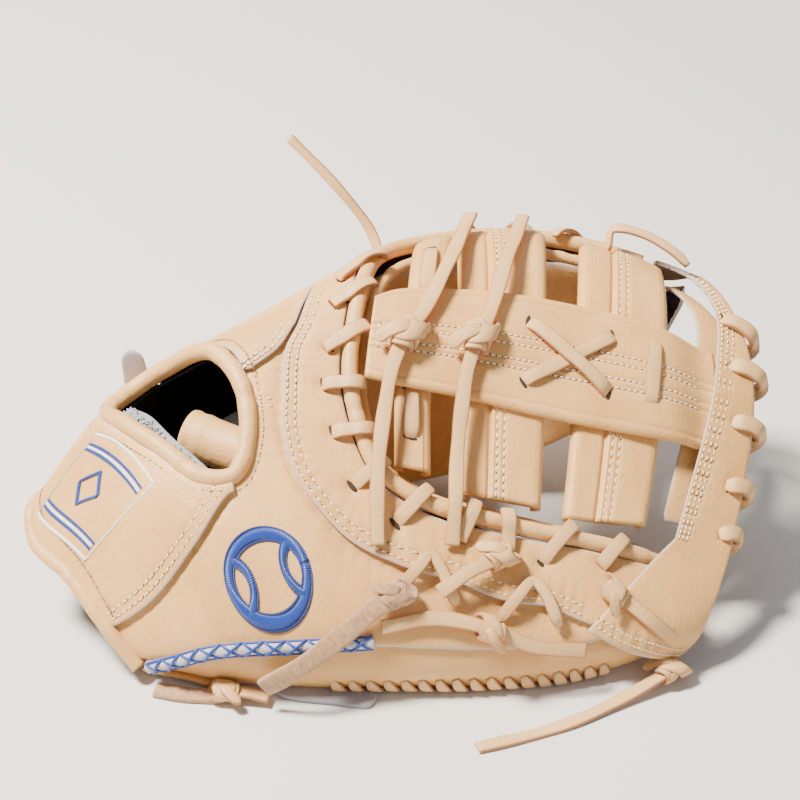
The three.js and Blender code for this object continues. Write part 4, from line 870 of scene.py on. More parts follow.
# ---- seams of the pattern, as flat lines in millimetres ----
def seam_rows():
    beside = {
        "facing": (FACING_SEAM, (2.9, 6.0)),
        "strap": (STRAP_SEAM, (-2.6, -5.4)),
        "ridge": (RIDGE_SEAM, (2.4, 5.0)),
        "crown": (CROWN_INNER, (-2.0, -4.4, -6.9)),
        "flap": ([(.712, .108), (.76, .082), (.84, .055), (.905, .035)], (2.6, 5.4)),
    }
    rows = {name: [offset_line(line, distance) for distance in away] for name, (line, away) in beside.items()}
    short = ([(.279, .369), (.309, .366)], [(.279, .357), (.309, .354)])
    rows["short"] = [smooth_line(flat(line)) for line in short]
    rows["wrist"] = [smooth_line(flat([(.033, .135), (.032, .5), (.033, .93)]))]
    return rows


def hole_rows():
    """The stitch row round the hand hole, parted where it leaves the strap for the back."""
    ring = smooth_line(flat(moved(HAND_HOLE, -(BINDING_RADIUS + 2.3), True)), 0.5, closed=True)
    low = (ring[:, 0] > .226 * FLAT_LENGTH) & (ring[:, 1] < .415 * FLAT_WIDTH)
    start = int(np.argmax(low & ~np.roll(low, 1)))
    ring, low = np.roll(ring, -start, axis=0), np.roll(low, -start)
    return ring[low], ring[~low]


PATCH = np.array([(.12, .5), (.143, .287), (.038, .252), (.029, .478)])
BALL_CENTRE, BALL_RADIUS = (.257, .155), 16.5
BALL_SQUASH = .64  # the ball's height as a share of its width
LACE_HOLES = [(.428, .585), (.425, .53), (.39, .443), (.373, .382), (.373, .316), (.387, .25), (.437, .213),
              (.53, .213), (.597, .21), (.643, .193), (.737, .197)]
LACE_INSIDE = [(.482, .605), (.478, .55), (.45, .475), (.43, .385), (.43, .325), (.44, .29), (.49, .262),
               (.556, .258), (.602, .256), (.7, .252), (.777, .24)]
RIM_HOLES = (.545, .462, .383, .3, .215)


class MittSettings(bpy.types.PropertyGroup):
    """Colours and sizes of the mitt's look."""

    leather_color: FloatVectorProperty(name="Shell Leather", description="Colour of the blond shell leather",
                                       subtype="COLOR", size=3, min=0, max=1, default=(0.80, 0.455, 0.165))
    roll_color: FloatVectorProperty(name="Rolled Edges", description="Colour of the welt and the bindings",
                                    subtype="COLOR", size=3, min=0, max=1, default=(0.76, 0.44, 0.17))
    lace_color: FloatVectorProperty(name="Lacing", description="Colour of the laces", subtype="COLOR", size=3,
                                    min=0, max=1, default=(0.77, 0.47, 0.205))
    thread_color: FloatVectorProperty(name="Blue Thread", description="Colour of the satin and the edge stitching",
                                      subtype="COLOR", size=3, min=0, max=1, default=(0.003, 0.055, 0.42))
    cell: FloatProperty(name="Grid", description="Cell of the grid that the leather is cut from",
                        subtype="DISTANCE", unit="LENGTH", default=0.00125, min=0.0006, max=0.004, precision=5)
    stitch_pitch: FloatProperty(name="Stitch Pitch", description="Distance from one stitch to the next",
                                subtype="DISTANCE", unit="LENGTH", default=0.003, min=0.001, max=0.008)


def millimetres(length):
    """A length of the settings, without the rounding of Blender's short numbers."""
    return round(1000 * length, 4)


class MITT_OT_materials(bpy.types.Operator):
    """Makes the materials that the pieces share"""

    bl_idname = "mitt.materials"
    bl_label = "Materials"

    def execute(self, context):
        make_materials(context.scene.mitt)
        return {"FINISHED"}


class MITT_OT_shell(bpy.types.Operator):
    """Forms the back of the hand, the wrist strap and the finger panel"""

    bl_idname = "mitt.shell"
    bl_label = "Shell"

    def execute(self, context):
        cell = millimetres(context.scene.mitt.cell)
        rows = seam_rows()
        # The inner side takes the near-black painted shade of the interior.
        looks = [LOOK["shell"], LOOK["raw"], LOOK["lining"]]
        hole = [[*HOLE_EDGE, HOLE_EDGE[0]]]
        under = moved(FACING_SEAM, 11)
        back = [
            [(.016, .115), (.016, .05)],
            [(.016, .05), (.09, .076), (.16, .093), (.275, .1), (.39, .1), (.52, .098), (.695, .096), (.745, .1)],
            [(.745, .1), (.73, .14), under[-1]],
            under[::-1],
            [under[0], (.34, .6)],
            [(.34, .6), (.3, .5), (.25, .56)],
            [(.25, .56), (.2, .45), (.185, .31), (.165, .24)],
            [(.165, .24), (.11, .19), (.016, .16), (.016, .115)],
        ]
        facing_edge = offset_line(FACING_SEAM, -0.3)
        strap_edge = offset_line(STRAP_SEAM, 0.6)
        grooves = [(facing_edge, 0.5), (strap_edge, 0.5), *((line, 0.3) for line in rows["short"])]
        piece = panel("hand_back.leather", back, [hole], 0, LEATHER, looks, cell=cell, seed=1.3, grooves=grooves)
        stands_for(piece, "hand_back")
        strap = [
            [(.014, .117), *STRAP_SEAM[::-1], (.238, .24)],
            [(.238, .24), (.232, .33), (.212, .45), (.19, .57), (.179, .67)],
            [(.179, .67), (.1755, .76), (.1695, .86), (.1395, .95)],
            [(.1395, .95), (.014, .95)],
            [(.014, .95), (.014, .117)],
        ]
        piece = panel("wrist_strap.leather", strap, [hole], OVER_LIFT, LEATHER, looks, cell=cell, seed=2.1,
                      grooves=[(line, 0.35) for line in rows["strap"] + rows["wrist"]])
        stands_for(piece, "wrist_strap")
        finger = [
            RIDGE_SEAM,
            [RIDGE_SEAM[2], (.385, .58), (.41, .66)],
            [(.41, .66), (.47, .74), (.56, .765), (.7, .775), (.85, .785), (.955, .79)],
            [(.955, .79), (.965, .86), (.93, .955)],
            [(.93, .955), (.6, .96), (.3, .955), (.141, .95)],
            [(.141, .95), (.171, .86), (.177, .76), (.18, .67)],
            [(.18, .67), (.2, .58), (.235, .49), (.262, .44), RIDGE_SEAM[0]],
        ]
        piece = panel("finger_panel.leather", finger, [hole], OVER_LIFT, LEATHER, looks, cell=1.5 * cell, seed=3.7,
                      grooves=[(line, 0.35) for line in rows["ridge"]], swell=0.8)
        stands_for(piece, "finger_panel")
        return {"FINISHED"}


class MITT_OT_web_edge(bpy.types.Operator):
    """Forms the facing round the web and the crown at the tip"""

    bl_idname = "mitt.web_edge"
    bl_label = "Facing and Crown"

    def execute(self, context):
        cell = millimetres(context.scene.mitt.cell)
        rows = seam_rows()
        # The inner side takes the flesh colour, darkened further as painted shade.
        looks = [LOOK["shell"], LOOK["raw"], LOOK["flesh"]]
        welt_side = moved(WELT_LINE, WELT_RADIUS + 0.2)
        seam = moved(FACING_SEAM, 0.8)
        facing = [
            seam,
            [seam[-1], (.76, .1), (.85, .06)],
            [(.85, .06), (.9, .13), welt_side[0]],
            welt_side,
            [welt_side[-1], (.87, .784)],
            [(.87, .784), (.7, .772), (.56, .762), (.47, .737), (.413, .662), seam[0]],
        ]
        dimples = [(u, v, 3.2, 1.1) for u, v in LACE_HOLES]
        piece = panel("web_facing.leather", facing, [], OVER_LIFT, LEATHER, looks, cell=0.9 * cell, seed=4.4,
                      grooves=[(line, 0.4) for line in rows["facing"]], dimples=dimples)
        stands_for(piece, "web_facing")
        crown = [
            [(.7, .112), (.78, .165), CROWN_INNER[0]],
            CROWN_INNER,
            [CROWN_INNER[10], (.872, .73), (.885, .78)],
            [(.885, .78), (.94, .775), (.965, .74)],
            [(.965, .74), (.978, .64), (.984, .54), (.986, .42), (.986, .3), (.985, .19), (.98, .12)],
            [(.98, .12), (.955, .06), (.915, .03)],
            [(.915, .03), (.84, .055), (.76, .082), (.7, .112)],
        ]
        rim_dimples = [(.958, across + .016, 3.0, 0.9) for across in RIM_HOLES]
        piece = panel("web_crown.leather", crown, [], CROWN_LIFT, LEATHER, looks, cell=0.9 * cell, seed=5.2,
                      grooves=[(line, 0.35) for line in rows["crown"] + rows["flap"]], dimples=rim_dimples)
        stands_for(piece, "web_crown")
        inner = moved(CROWN_INNER, 6)[1:10]
        backing = [
            inner,
            [inner[8], (.935, .72)],
            [(.935, .72), (.972, .6), (.98, .45), (.98, .3), (.95, .25)],
            [(.95, .25), inner[0]],
        ]
        # Its inner side takes the flesh colour, darkened further as painted shade.
        looks = [LOOK["edge"], LOOK["edge"], LOOK["flesh"]]
        piece = panel("crown_backing.leather", backing, [], -3.6, LEATHER, looks, cell=1.3 * cell, seed=6.0)
        stands_for(piece, "crown_backing")
        return {"FINISHED"}


class MITT_OT_palm(bpy.types.Operator):
    """Forms the palm and the pocket"""

    bl_idname = "mitt.palm"
    bl_label = "Palm"

    def execute(self, context):
        low, high, start = NOTCH_LOW, NOTCH_HIGH, NOTCH_ALONG
        palm = [
            [(.016, .055), (.09, .016), (.16, -.006), (.275, -.014), (.33, -.016), (.5, -.016), (.695, -.014),
             (.8, .01), (.9, .04)],
            [(.9, .04), (.935, .12), (.925, .2), (.87, .29), (.8, low)],
            [(.8, low), (.6, low), (.46, low + .01)],
            [(.46, low + .01), (start + .01, low + .05), (start, .5), (start + .01, high - .05),
             (.46, high - .01)],
            [(.46, high - .01), (.6, high), (.8, high)],
            [(.8, high), (.87, .7), (.925, .78), (.93, .87), (.9, .975)],
            [(.9, .975), (.6, .99), (.3, .99), (.06, .985)],
            [(.06, .985), (.03, .8), (.015, .5), (.016, .2), (.016, .055)],
        ]
        # The palm's inner side takes the near-black painted shade of the interior.
        looks = [LOOK["shell"], LOOK["shell"], LOOK["lining"]]
        piece = panel("palm.leather", palm, [], 0, PALM_LEATHER, looks, place=on_palm,
                      cell=1.7 * millimetres(context.scene.mitt.cell), outward=-1, seed=7.7, swell=0.7)
        stands_for(piece, "palm_heel", "pocket_thumb_side", "pocket_finger_side")
        whip = bmesh.new()
        across = np.array([.052, .062, .084, .096])
        clear = GROUND + 1.1  # the lowest that the middle of a whipped turn may lie
        for i, start in enumerate(np.linspace(.31, .74, 17)):
            along = start + np.array([-.004, 0, .006, .01])
            points = on_palm(along, across, np.array([.6, -1.5, -1.5, .6]))
            points[:, 2] = np.maximum(points[:, 2], clear)
            lace("turn", Path(points, -normals_of(palm_face, along, across)), None, width=5.4, thickness=1.8,
                 seed=i, bm=whip)
        stands_for(finished("edge_whipping.lace", whip, [LOOK["lace"]]))
        return {"FINISHED"}


class MITT_OT_rolls(bpy.types.Operator):
    """Rolls the welts and the bindings, and stitches the roll along the thumb"""

    bl_idname = "mitt.rolls"
    bl_label = "Rolled Edges"

    def execute(self, context):
        welt = [(u, v, 0.6 if i == 0 else WELT_LIFT) for i, (u, v) in enumerate(WELT_LINE)]
        stands_for(tube("web_welt.roll", welt, WELT_RADIUS, LOOK["edge"], seed=0.4), "web_welt")
        hole = [(u, v, LEATHER + (0.9 if u < .22 or v > .42 else 0.2)) for u, v in HAND_HOLE]
        stands_for(tube("hand_hole_binding.roll", hole, BINDING_RADIUS + 0.7, LOOK["edge"], closed=True, seed=1.8,
                        wrinkle=0.35), "hand_hole_binding")
        wrist = [(.013, v, OVER_LIFT + 1) for v in (.03, .13, .25, .4, .55, .7, .84, .95)]
        stands_for(tube("wrist_binding.roll", wrist, BINDING_RADIUS, LOOK["edge"], seed=2.5), "wrist_binding")
        inner = [(u, v, -4.6) for u, v in moved(WELT_LINE, -4.8)[2:17]]
        stands_for(tube("palm_welt.roll", inner, PALM_WELT_RADIUS, LOOK["edge"], seed=3.1), "palm_welt")
        edge = [(.034, .041), (.09, .072), (.16, .091), (.275, .098), (.385, .104)]
        rows = [(u, v, EDGE_ROLL_RADIUS + LACE_CLEARANCE) for u, v in edge]
        piece = tube("thumb_edge_roll.felt", rows, EDGE_ROLL_RADIUS, LOOK["felt"], wrinkle=0.1)
        stands_for(piece, "thumb_edge_roll")
        stands_for(self.cross_stitches(surface_path(rows)))
        return {"FINISHED"}

    @staticmethod
    def cross_stitches(path, crosses=11, start=0.01, end=0.99):
        """Blue thread crossed over the roll along the thumb, between a border thread at either side."""
        bm = bmesh.new()
        for i in range(crosses):
            for flip in (1, -1):
                def place(share, angle, i=i, flip=flip):
                    centre, tangent, side, up = path.at(start + (end - start) * (i + share) / crosses)
                    turn = math.pi / 2 + flip * (share - 0.5) * 2.5
                    x, y = round_section(angle, 1.8, 1.0)
                    out = side * np.cos(turn)[:, None] + up * np.sin(turn)[:, None]
                    reach = EDGE_ROLL_RADIUS + 0.25 + (0.3 if flip > 0 else 0) + y
                    return centre + out * reach[:, None] + tangent * x[:, None]
                rod("cross", 9, 6, place, [], bm=bm)
        for turn in (math.pi / 2 - 1.28, math.pi / 2 + 1.28):
            def border(share, angle, turn=turn):
                centre, _, side, up = path.at(start + (end - start) * share)
                a = angle * 2 * math.pi
                out = side * math.cos(turn) + up * math.sin(turn)
                aside = np.cross(out, path.at(share)[1])
                reach = EDGE_ROLL_RADIUS + 0.2 + 0.5 * np.cos(a)
                return centre + out * reach[:, None] + aside * (0.75 * np.sin(a))[:, None]
            rod("border", 60, 6, border, [], bm=bm)
        return finished("thumb_edge_stitching.thread", bm, [LOOK["blue_thread"]])


# Each bar's width, its middle line and where the raw edge of its upper layer lies across it
BARS = {
    "web_bar_narrow": (15.0, [(.474, .285), (.493, .38), (.53, .51), (.552, .645)], None),
    "web_bar_middle": (36.0, [(.597, .268), (.621, .39), (.634, .5), (.642, .655)], -5.2),
    "web_bar_wide": (39.0, [(.752, .262), (.782, .38), (.8, .49), (.815, .65)], -4.6),
}
BAR_ROWS = (2.4, 5.6)  # the stitch rows beside the raw edge
POST_ROWS = (4.4, 1.6, -3.0, -5.8)  # the stitch rows across the post


def bar_section(width, raw):
    """Half of it is the face with its rolled sides, half the way back through the open back."""
    half = width / 2
    depth = BAR_ROLL
    turn = min(depth / 2, half / 2)
    outer, inner = [], []
    for a in np.linspace(-math.pi / 2, math.pi / 2, 12):
        outer.append((turn - half - turn * math.cos(a), -turn + turn * math.sin(a)))
        inner.append((turn - half - (turn - BAR_WALL) * math.cos(a), -turn + (turn - BAR_WALL) * math.sin(a)))
    middle_part = [(x, 0.35 * math.cos(x / half * math.pi / 2))
                   for x in np.linspace(turn - half, half - turn, 60)[1:-1]]
    back_part = [(x, -BAR_WALL) for x in np.linspace(turn - half, half - turn, 6)[1:-1]]
    face = outer + middle_part + [(-x, y) for x, y in outer[::-1]]
    back = [(-x, y) for x, y in inner] + back_part[::-1] + inner[::-1]
    if raw is not None:
        face = [(x, y + 1.1 / (1 + math.exp(-(x - raw) / 0.12)) - 1.3 * math.exp(-((x - raw + 0.8) / 0.8) ** 2)
                 - sum(0.45 * math.exp(-((x - raw - row) / 0.7) ** 2) for row in BAR_ROWS))
                for x, y in face]
    return np.array(face + back)


def section_rod(name, section, rings, place, material, length):
    """A rod with a drawn section, given as points around it."""
    count = len(section)
    far = lengths_along(np.vstack([section, section[:1]]))

    def form(share, angle):
        index = np.round(angle * count).astype(int) % count
        return place(share, section[index, 0], section[index, 1])

    return rod(name, rings, count, form, [material], uv_size=(length / 1000, far[-1] / 1000))


class MITT_OT_web(bpy.types.Operator):
    """Makes the bars and the post of the web"""

    bl_idname = "mitt.web"
    bl_label = "Web"

    def execute(self, context):
        pitch = millimetres(context.scene.mitt.stitch_pitch)
        self.bars(pitch)
        self.post(pitch)
        return {"FINISHED"}

    @staticmethod
    def bars(pitch):
        bm, holes = Scatter(), Scatter(6, 4)
        for name, (width, line, raw) in BARS.items():
            middle = smooth_line(np.array(line) * 100, 0.2) / 100
            far = lengths_along(middle)

            def centre_at(share, middle=middle, far=far):
                way = share * far[-1]
                return np.interp(way, far, middle[:, 0]), np.interp(way, far, middle[:, 1])

            def place(share, x, y, centre_at=centre_at, width=width):
                u, v = centre_at(share)
                wave = 0.15 * np.sin(share * 9 + width)
                return on(u + x / FLAT_LENGTH, v, BAR_FACE + y + wave)

            piece = section_rod(f"{name}.leather", bar_section(width, raw), 70, place, LOOK["shell"], 110)
            stands_for(piece, name)
            if raw is None:
                continue
            count = int(112 / pitch)
            share = (np.arange(count) + 0.5) / count
            for row in BAR_ROWS:
                u, v = centre_at(share)
                x = np.full(count, raw + row)
                spot = on(u + x / FLAT_LENGTH, v, BAR_FACE + 1.2)
                ahead = on(np.interp(share + .002, share, u) + x / FLAT_LENGTH, v + .004, BAR_FACE + 1.2)
                normal = normals_of(surface, u + x / FLAT_LENGTH, v)
                place_stitches(bm, holes, spot, ahead - spot, normal, THREAD, pitch)
        stands_for(finished("bar_stitching.thread", bm, [LOOK["cream_thread"]]))
        needle_holes("bar_stitching", holes)

    @staticmethod
    def post(pitch):
        under = CROWN_LIFT - POST_THICKNESS - LAYER_GAP
        # Rows of (along, across, lift, share of the width)
        line = np.array([(.446, .453, POST_LIFT, .92), (.48, .452, POST_LIFT, 1), (.55, .4475, POST_LIFT, 1),
                         (.64, .4425, POST_LIFT, 1), (.75, .44, POST_LIFT, 1), (.86, .435, POST_LIFT, 1),
                         (.91, .431, under, 1), (.93, .43, under, 1)])
        along = smooth_line(line * np.array([1000, 1000, 1, 10]), 1.0)
        far = lengths_along(along)

        def pick(share, k):
            return np.interp(share * far[-1], far, along[:, k])

        def place(share, x, y):
            slant = 0.036 * (x / POST_WIDTH) * np.maximum(1 - 5 * share, 0)
            width = pick(share, 3) / 10
            sag = 0.5 * np.sin(share * 7.0 + 1) + 0.25 * np.sin(share * 19.0)
            return on(pick(share, 0) / 1000 + slant, pick(share, 1) / 1000 + x * width / FLAT_WIDTH,
                      pick(share, 2) + y + sag)

        half = POST_WIDTH / 2
        edge = POST_THICKNESS / 2
        top = [(x, POST_THICKNESS + 0.6 * math.cos(x / half * math.pi / 2)
                - sum(0.55 * math.exp(-((x - row) / 0.8) ** 2) for row in POST_ROWS)
                - 0.35 * math.exp(-((abs(x) - half + 3.2) / 0.7) ** 2))
               for x in np.linspace(half - edge, edge - half, 96)]
        left = [(edge - half - edge * math.sin(a), edge + edge * math.cos(a))
                for a in np.linspace(0.2, math.pi - .2, 8)]
        bottom = [(x, 0) for x in np.linspace(edge - half, half - edge, 12)]
        right = [(half - edge + edge * math.sin(a), edge + edge * math.cos(a))
                 for a in np.linspace(math.pi - .2, .2, 8)]
        section = np.array(top + left + bottom + right)
        stands_for(section_rod("web_post.leather", section, 110, place, LOOK["shell"], 165), "web_post")
        bm, holes = Scatter(), Scatter(6, 4)
        thread_lift = POST_THICKNESS + 0.25

        def sew(share, x, ahead_share, ahead_x, size):
            spot = place(share, x, thread_lift)
            ahead = place(share + ahead_share, x + ahead_x, thread_lift)
            u, v = pick(share, 0) / 1000, pick(share, 1) / 1000 + x / FLAT_WIDTH
            place_stitches(bm, holes, spot, ahead - spot, normals_of(surface, u, v), size, pitch)

        count = int(158 / pitch)
        share = 0.03 + 0.91 * (np.arange(count) + 0.5) / count
        for row in POST_ROWS:
            sew(share, np.full(count, row), 0.004, 0, THREAD)
        sew(np.full(4, 0.024), np.array([-4.4, -1.6, 0.8, 3.4]), 0, 1, (1.1, 0.44, 0.4))
        stands_for(finished("post_stitching.thread", bm, [LOOK["cream_thread"]]))
        needle_holes("post_stitching", holes)


class MITT_OT_inside(bpy.types.Operator):
    """Makes the fleece and the finger stall that show in the hand hole"""

    bl_idname = "mitt.inside"
    bl_label = "Inside"

    def execute(self, context):
        fleece = [
            [(.085, .62), (.085, .4), (.12, .26), (.185, .215)],
            [(.185, .215), (.222, .262)],
            [(.222, .262), (.2, .3), (.178, .36), (.168, .46), (.165, .6)],
            [(.165, .6), (.085, .62)],
        ]
        lift = LEATHER - BINDING_RADIUS - 1.5 * LAYER_GAP - FLEECE
        piece = panel("fleece_lining.fleece", fleece, [], lift, FLEECE, [LOOK["fleece"]] * 3, cell=1.0, seed=8.8,
                      swell=1.4, edge_round=1.4)
        stands_for(piece, "fleece_lining")
        self.tufts(lift + FLEECE)
        self.linings()
        self.stall()
        return {"FINISHED"}

    @staticmethod
    def tufts(lift):
        """Short tufts strewn between the outer and the inner side of the fleece."""
        chance = random.Random(5)
        tufts = Scatter(5, 4)
        outer = smooth_line(flat([(.095, .6), (.095, .42), (.128, .29), (.19, .232)]), 1.0)
        inner = smooth_line(flat([(.16, .6), (.162, .46), (.174, .35), (.21, .27)]), 1.0)
        inner = even(inner, lengths_along(inner)[-1] / (len(outer) - 1))[:len(outer)]
        spots = []
        for _ in range(1500):
            i, t = chance.randrange(len(inner)), chance.random()
            spots.append(outer[i] * (1 - t) + inner[i] * t + [chance.gauss(0, .6), chance.gauss(0, .6)])
        spots = np.array(spots) / [FLAT_LENGTH, FLAT_WIDTH]
        roots = on(spots[:, 0], spots[:, 1], lift + 0.2)
        up = normals_of(surface, spots[:, 0], spots[:, 1])
        lean = np.array([[chance.gauss(0, 1) for _ in range(3)] for _ in roots])
        place_stitches(tufts, None, roots, lean + 0.5 * up, up, (1.5, 0.42, 0.42))
        stands_for(finished("fleece_tufts.fleece", tufts, [LOOK["fleece"]]))

    @staticmethod
    def linings():
        """Near-black thin cloth sheets of painted shade that close the hand room: towards the fingers, at the back and
        on the palm.
        """
        curtain = bmesh.new()
        bmesh.ops.create_grid(curtain, x_segments=40, y_segments=24, size=0.5)
        across = np.array([v.co.x + 0.5 for v in curtain.verts])
        down = np.array([v.co.y + 0.5 for v in curtain.verts])
        head = on(0 * across + .4, .16 + .74 * across, -2.0)
        foot = on_palm(0 * across + .385, .2 + .6 * across, 3.0)
        for v, spot in zip(curtain.verts, to_scene(head * (1 - down)[:, None] + foot * down[:, None])):
            v.co = spot
        stands_for(finished("finger_room.lining", curtain, [LOOK["lining"]]))
        back_rows = [[(.022, .7), (.16, .71), (.28, .6), (.42, .62)], [(.42, .62), (.42, .8), (.42, .96)],
                     [(.42, .96), (.2, .95), (.022, .95)], [(.022, .95), (.022, .82), (.022, .7)]]
        cloth = [LOOK["lining"]] * 3
        stands_for(panel("back_lining.cloth", back_rows, [], -2.6, SHADE_SHEET, cloth, cell=2.4, seed=9.9))
        floor_rows = [[(.016, .14), (.1, .13), (.25, .13), (.395, .14)], [(.395, .14), (.4, .5), (.395, .86)],
                      [(.395, .86), (.25, .87), (.03, .86)], [(.03, .86), (.018, .5), (.016, .14)]]
        stands_for(panel("palm_lining.cloth", floor_rows, [], PALM_LEATHER + SHADE_SHEET, SHADE_SHEET, cloth,
                         place=on_palm, cell=2.4, outward=-1, seed=9.2))

    @staticmethod
    def stall():
        """A finger's leather sleeve: a wall with a rolled mouth, turned round the way to its end."""
        radius = STALL_RADIUS
        mouth = on(.196, .35, -2)[0] + [0, 17, -12]
        end = on_palm(.34, .41, PALM_LEATHER + 5 * LACE_CLEARANCE + radius)[0]
        deep = np.linalg.norm(end - mouth)
        way = (end - mouth) / deep
        side = np.cross(way, [0, 0, 1.0])
        side /= np.linalg.norm(side)
        up = np.cross(side, way)
        profile = [(radius - 2, deep), (radius - 2, 3), (radius - 1.9, .2), (radius - .9, -1.3), (radius + .3, -.8),
                   (radius + .7, .8), (radius, 3), (radius + .5, 7), (radius, 10), (radius, deep)]
        line = smooth_line(np.array(profile), 0.6)
        far = lengths_along(line)

        def place(share, angle):
            r = np.interp(share * far[-1], far, line[:, 0])
            z = np.interp(share * far[-1], far, line[:, 1])
            a = angle * 2 * math.pi
            return mouth + way * z[:, None] + side * (r * np.cos(a))[:, None] + up * (r * np.sin(a))[:, None]

        piece = rod("finger_stall.leather", 60, 48, place, [LOOK["edge"]], uv_size=(0.07, 0.07))
        stands_for(piece, "finger_stall")


def crossing_of(start, end):
    welt = smooth_line(flat(WELT_LINE), 0.5)
    a = flat([start])[0]
    run = flat([end])[0] - a
    off = welt - a
    share = np.clip(off @ run / (run @ run), 0, 1)
    gap = np.linalg.norm(off - share[:, None] * run, axis=1)
    i = int(np.argmin(gap))
    tangent = np.gradient(welt, axis=0)[i]
    tangent /= np.linalg.norm(tangent)
    return share[i], abs(tangent[0] * run[1] - tangent[1] * run[0]) / np.linalg.norm(run)


def arch_rows(start, end, radius, degrees):
    share, square = crossing_of(start, end)
    length = np.linalg.norm(flat([end])[0] - flat([start])[0])

    def at(distance, lift):
        s = share + distance / (square * length)
        return (start[0] + (end[0] - start[0]) * s, start[1] + (end[1] - start[1]) * s, lift)

    return at, [at(radius * math.cos(math.radians(d)), WELT_LIFT + radius * math.sin(math.radians(d)))
                for d in degrees]


class MITT_OT_lacing(bpy.types.Operator):
    """Laces the web to its facing and the rim of the crown"""

    bl_idname = "mitt.lacing"
    bl_label = "Lacing"

    def execute(self, context):
        # Dark marks of painted shade in the lace slits.
        slits = Scatter(12, 6)
        for i, (hole, inside) in enumerate(zip(LACE_HOLES, LACE_INSIDE)):
            at, arc = arch_rows(hole, inside, WELT_TURN, (132, 100, 65, 30, 0))
            rows = [(*hole, OVER_LIFT - 1.6), at(-WELT_TURN - 4.2, ON_OVER - 0.2),
                    at(-WELT_TURN - 1.6, ON_OVER + 1.0), *arc]
            run = flat([inside])[0] - flat([hole])[0]
            run /= np.linalg.norm(run)
            slit(slits, hole[0] + run[0] * .6 / FLAT_LENGTH, hole[1] + run[1] * .6 / FLAT_WIDTH,
                 OVER_LIFT + LEATHER - .7, run)
            piece = lace(f"welt_lace_{i + 1}.lace", surface_path(rows), LOOK["lace"], width=LACE_WIDTH + .4,
                         seed=i * 1.7)
            stands_for(piece, f"welt_lace_{i + 1}")
        for i, across in enumerate(RIM_HOLES):
            rows = [(.953, across + .018, CROWN_LIFT), (.962, across + .016, ON_CROWN - 0.1),
                    (.978, across + .014, ON_CROWN + .6), (.996, across + .006, ON_CROWN - .6),
                    (1.004, across, 2.2), (.995, across - .006, -3.6), (.975, across - .012, -5.4)]
            slit(slits, .954, across + .018, CROWN_LIFT + LEATHER - .6, np.array([1.0, 0]), 4.2)
            piece = lace(f"rim_lace_{i + 1}.lace", surface_path(rows), LOOK["lace"], width=7.6, thickness=2.7,
                         seed=i * 2.3)
            stands_for(piece, f"rim_lace_{i + 1}")
        dip = LACE_PILE + .3
        sunk = ON_POST - 4.2
        # Short laces on the post and the narrow bar, which dive into slits at both ends
        tables = {
            "post_lace_under": [(.781, .477, sunk), (.773, .472, ON_POST), (.735, .452, ON_POST),
                                (.69, .43, ON_POST), (.653, .412, ON_POST), (.645, .407, sunk)],
            "post_lace_over": [(.659, .475, sunk), (.667, .471, ON_POST + .3), (.69, .457, ON_POST + dip),
                               (.712, .443, ON_POST + dip + .4), (.735, .43, ON_POST + dip),
                               (.76, .415, ON_POST + .2), (.768, .411, sunk)],
            "post_lace_loop": [(.837, .481, sunk), (.836, .474, ON_POST), (.833, .455, ON_POST + 1.2),
                               (.829, .432, ON_POST + 1.2), (.826, .41, ON_POST), (.825, .403, sunk)],
            "bar_lace_upper": [(.545, .6, ON_BAR - 2.4), (.545, .585, ON_BAR), (.54, .56, ON_BAR + .6),
                               (.533, .53, ON_BAR), (.53, .52, ON_BAR - 2)],
            "bar_lace_lower": [(.489, .39, ON_BAR - 2.4), (.489, .38, ON_BAR), (.485, .36, ON_BAR + .8),
                               (.478, .33, ON_BAR), (.476, .322, ON_BAR - 2.4)],
        }
        for name, rows in tables.items():
            piece = lace(f"{name}.lace", surface_path(rows), LOOK["lace"], width=LACE_WIDTH + .5, seed=len(name))
            stands_for(piece, name)
            line = flat([row[:2] for row in rows])
            for end, near in ((0, 1), (-1, -2)):
                run = line[end] - line[near]
                run /= np.linalg.norm(run)
                u, v = (line[end] - run * .5) / [FLAT_LENGTH, FLAT_WIDTH]
                top = POST_LIFT + POST_THICKNESS if name.startswith("post") else BAR_FACE
                slit(slits, u, v, top + .2, run, 3.6)
        stands_for(finished("lace_slits.leather", slits, [LOOK["slit"]]))
        welt = .683  # the share across at which the web welt runs along the ridge
        for i, (along, lean) in enumerate(((.6, -.01), (.665, .015), (.735, -.02))):
            rows = [(along - lean * 1.6, welt + (WELT_TURN + 6.5) / FLAT_WIDTH, OVER_LIFT),
                    (along - lean * 1.4, welt + (WELT_TURN + 4) / FLAT_WIDTH, ON_OVER)]
            for degrees in (140, 105, 70, 35, 5):
                angle = math.radians(degrees)
                rows.append((along + lean * math.cos(angle), welt - (WELT_TURN * math.cos(angle)) / FLAT_WIDTH,
                             WELT_LIFT + WELT_TURN * math.sin(angle)))
            piece = lace(f"ridge_lace_{i + 1}.lace", surface_path(rows), LOOK["lace"], seed=i)
            stands_for(piece, f"ridge_lace_{i + 1}")
        return {"FINISHED"}


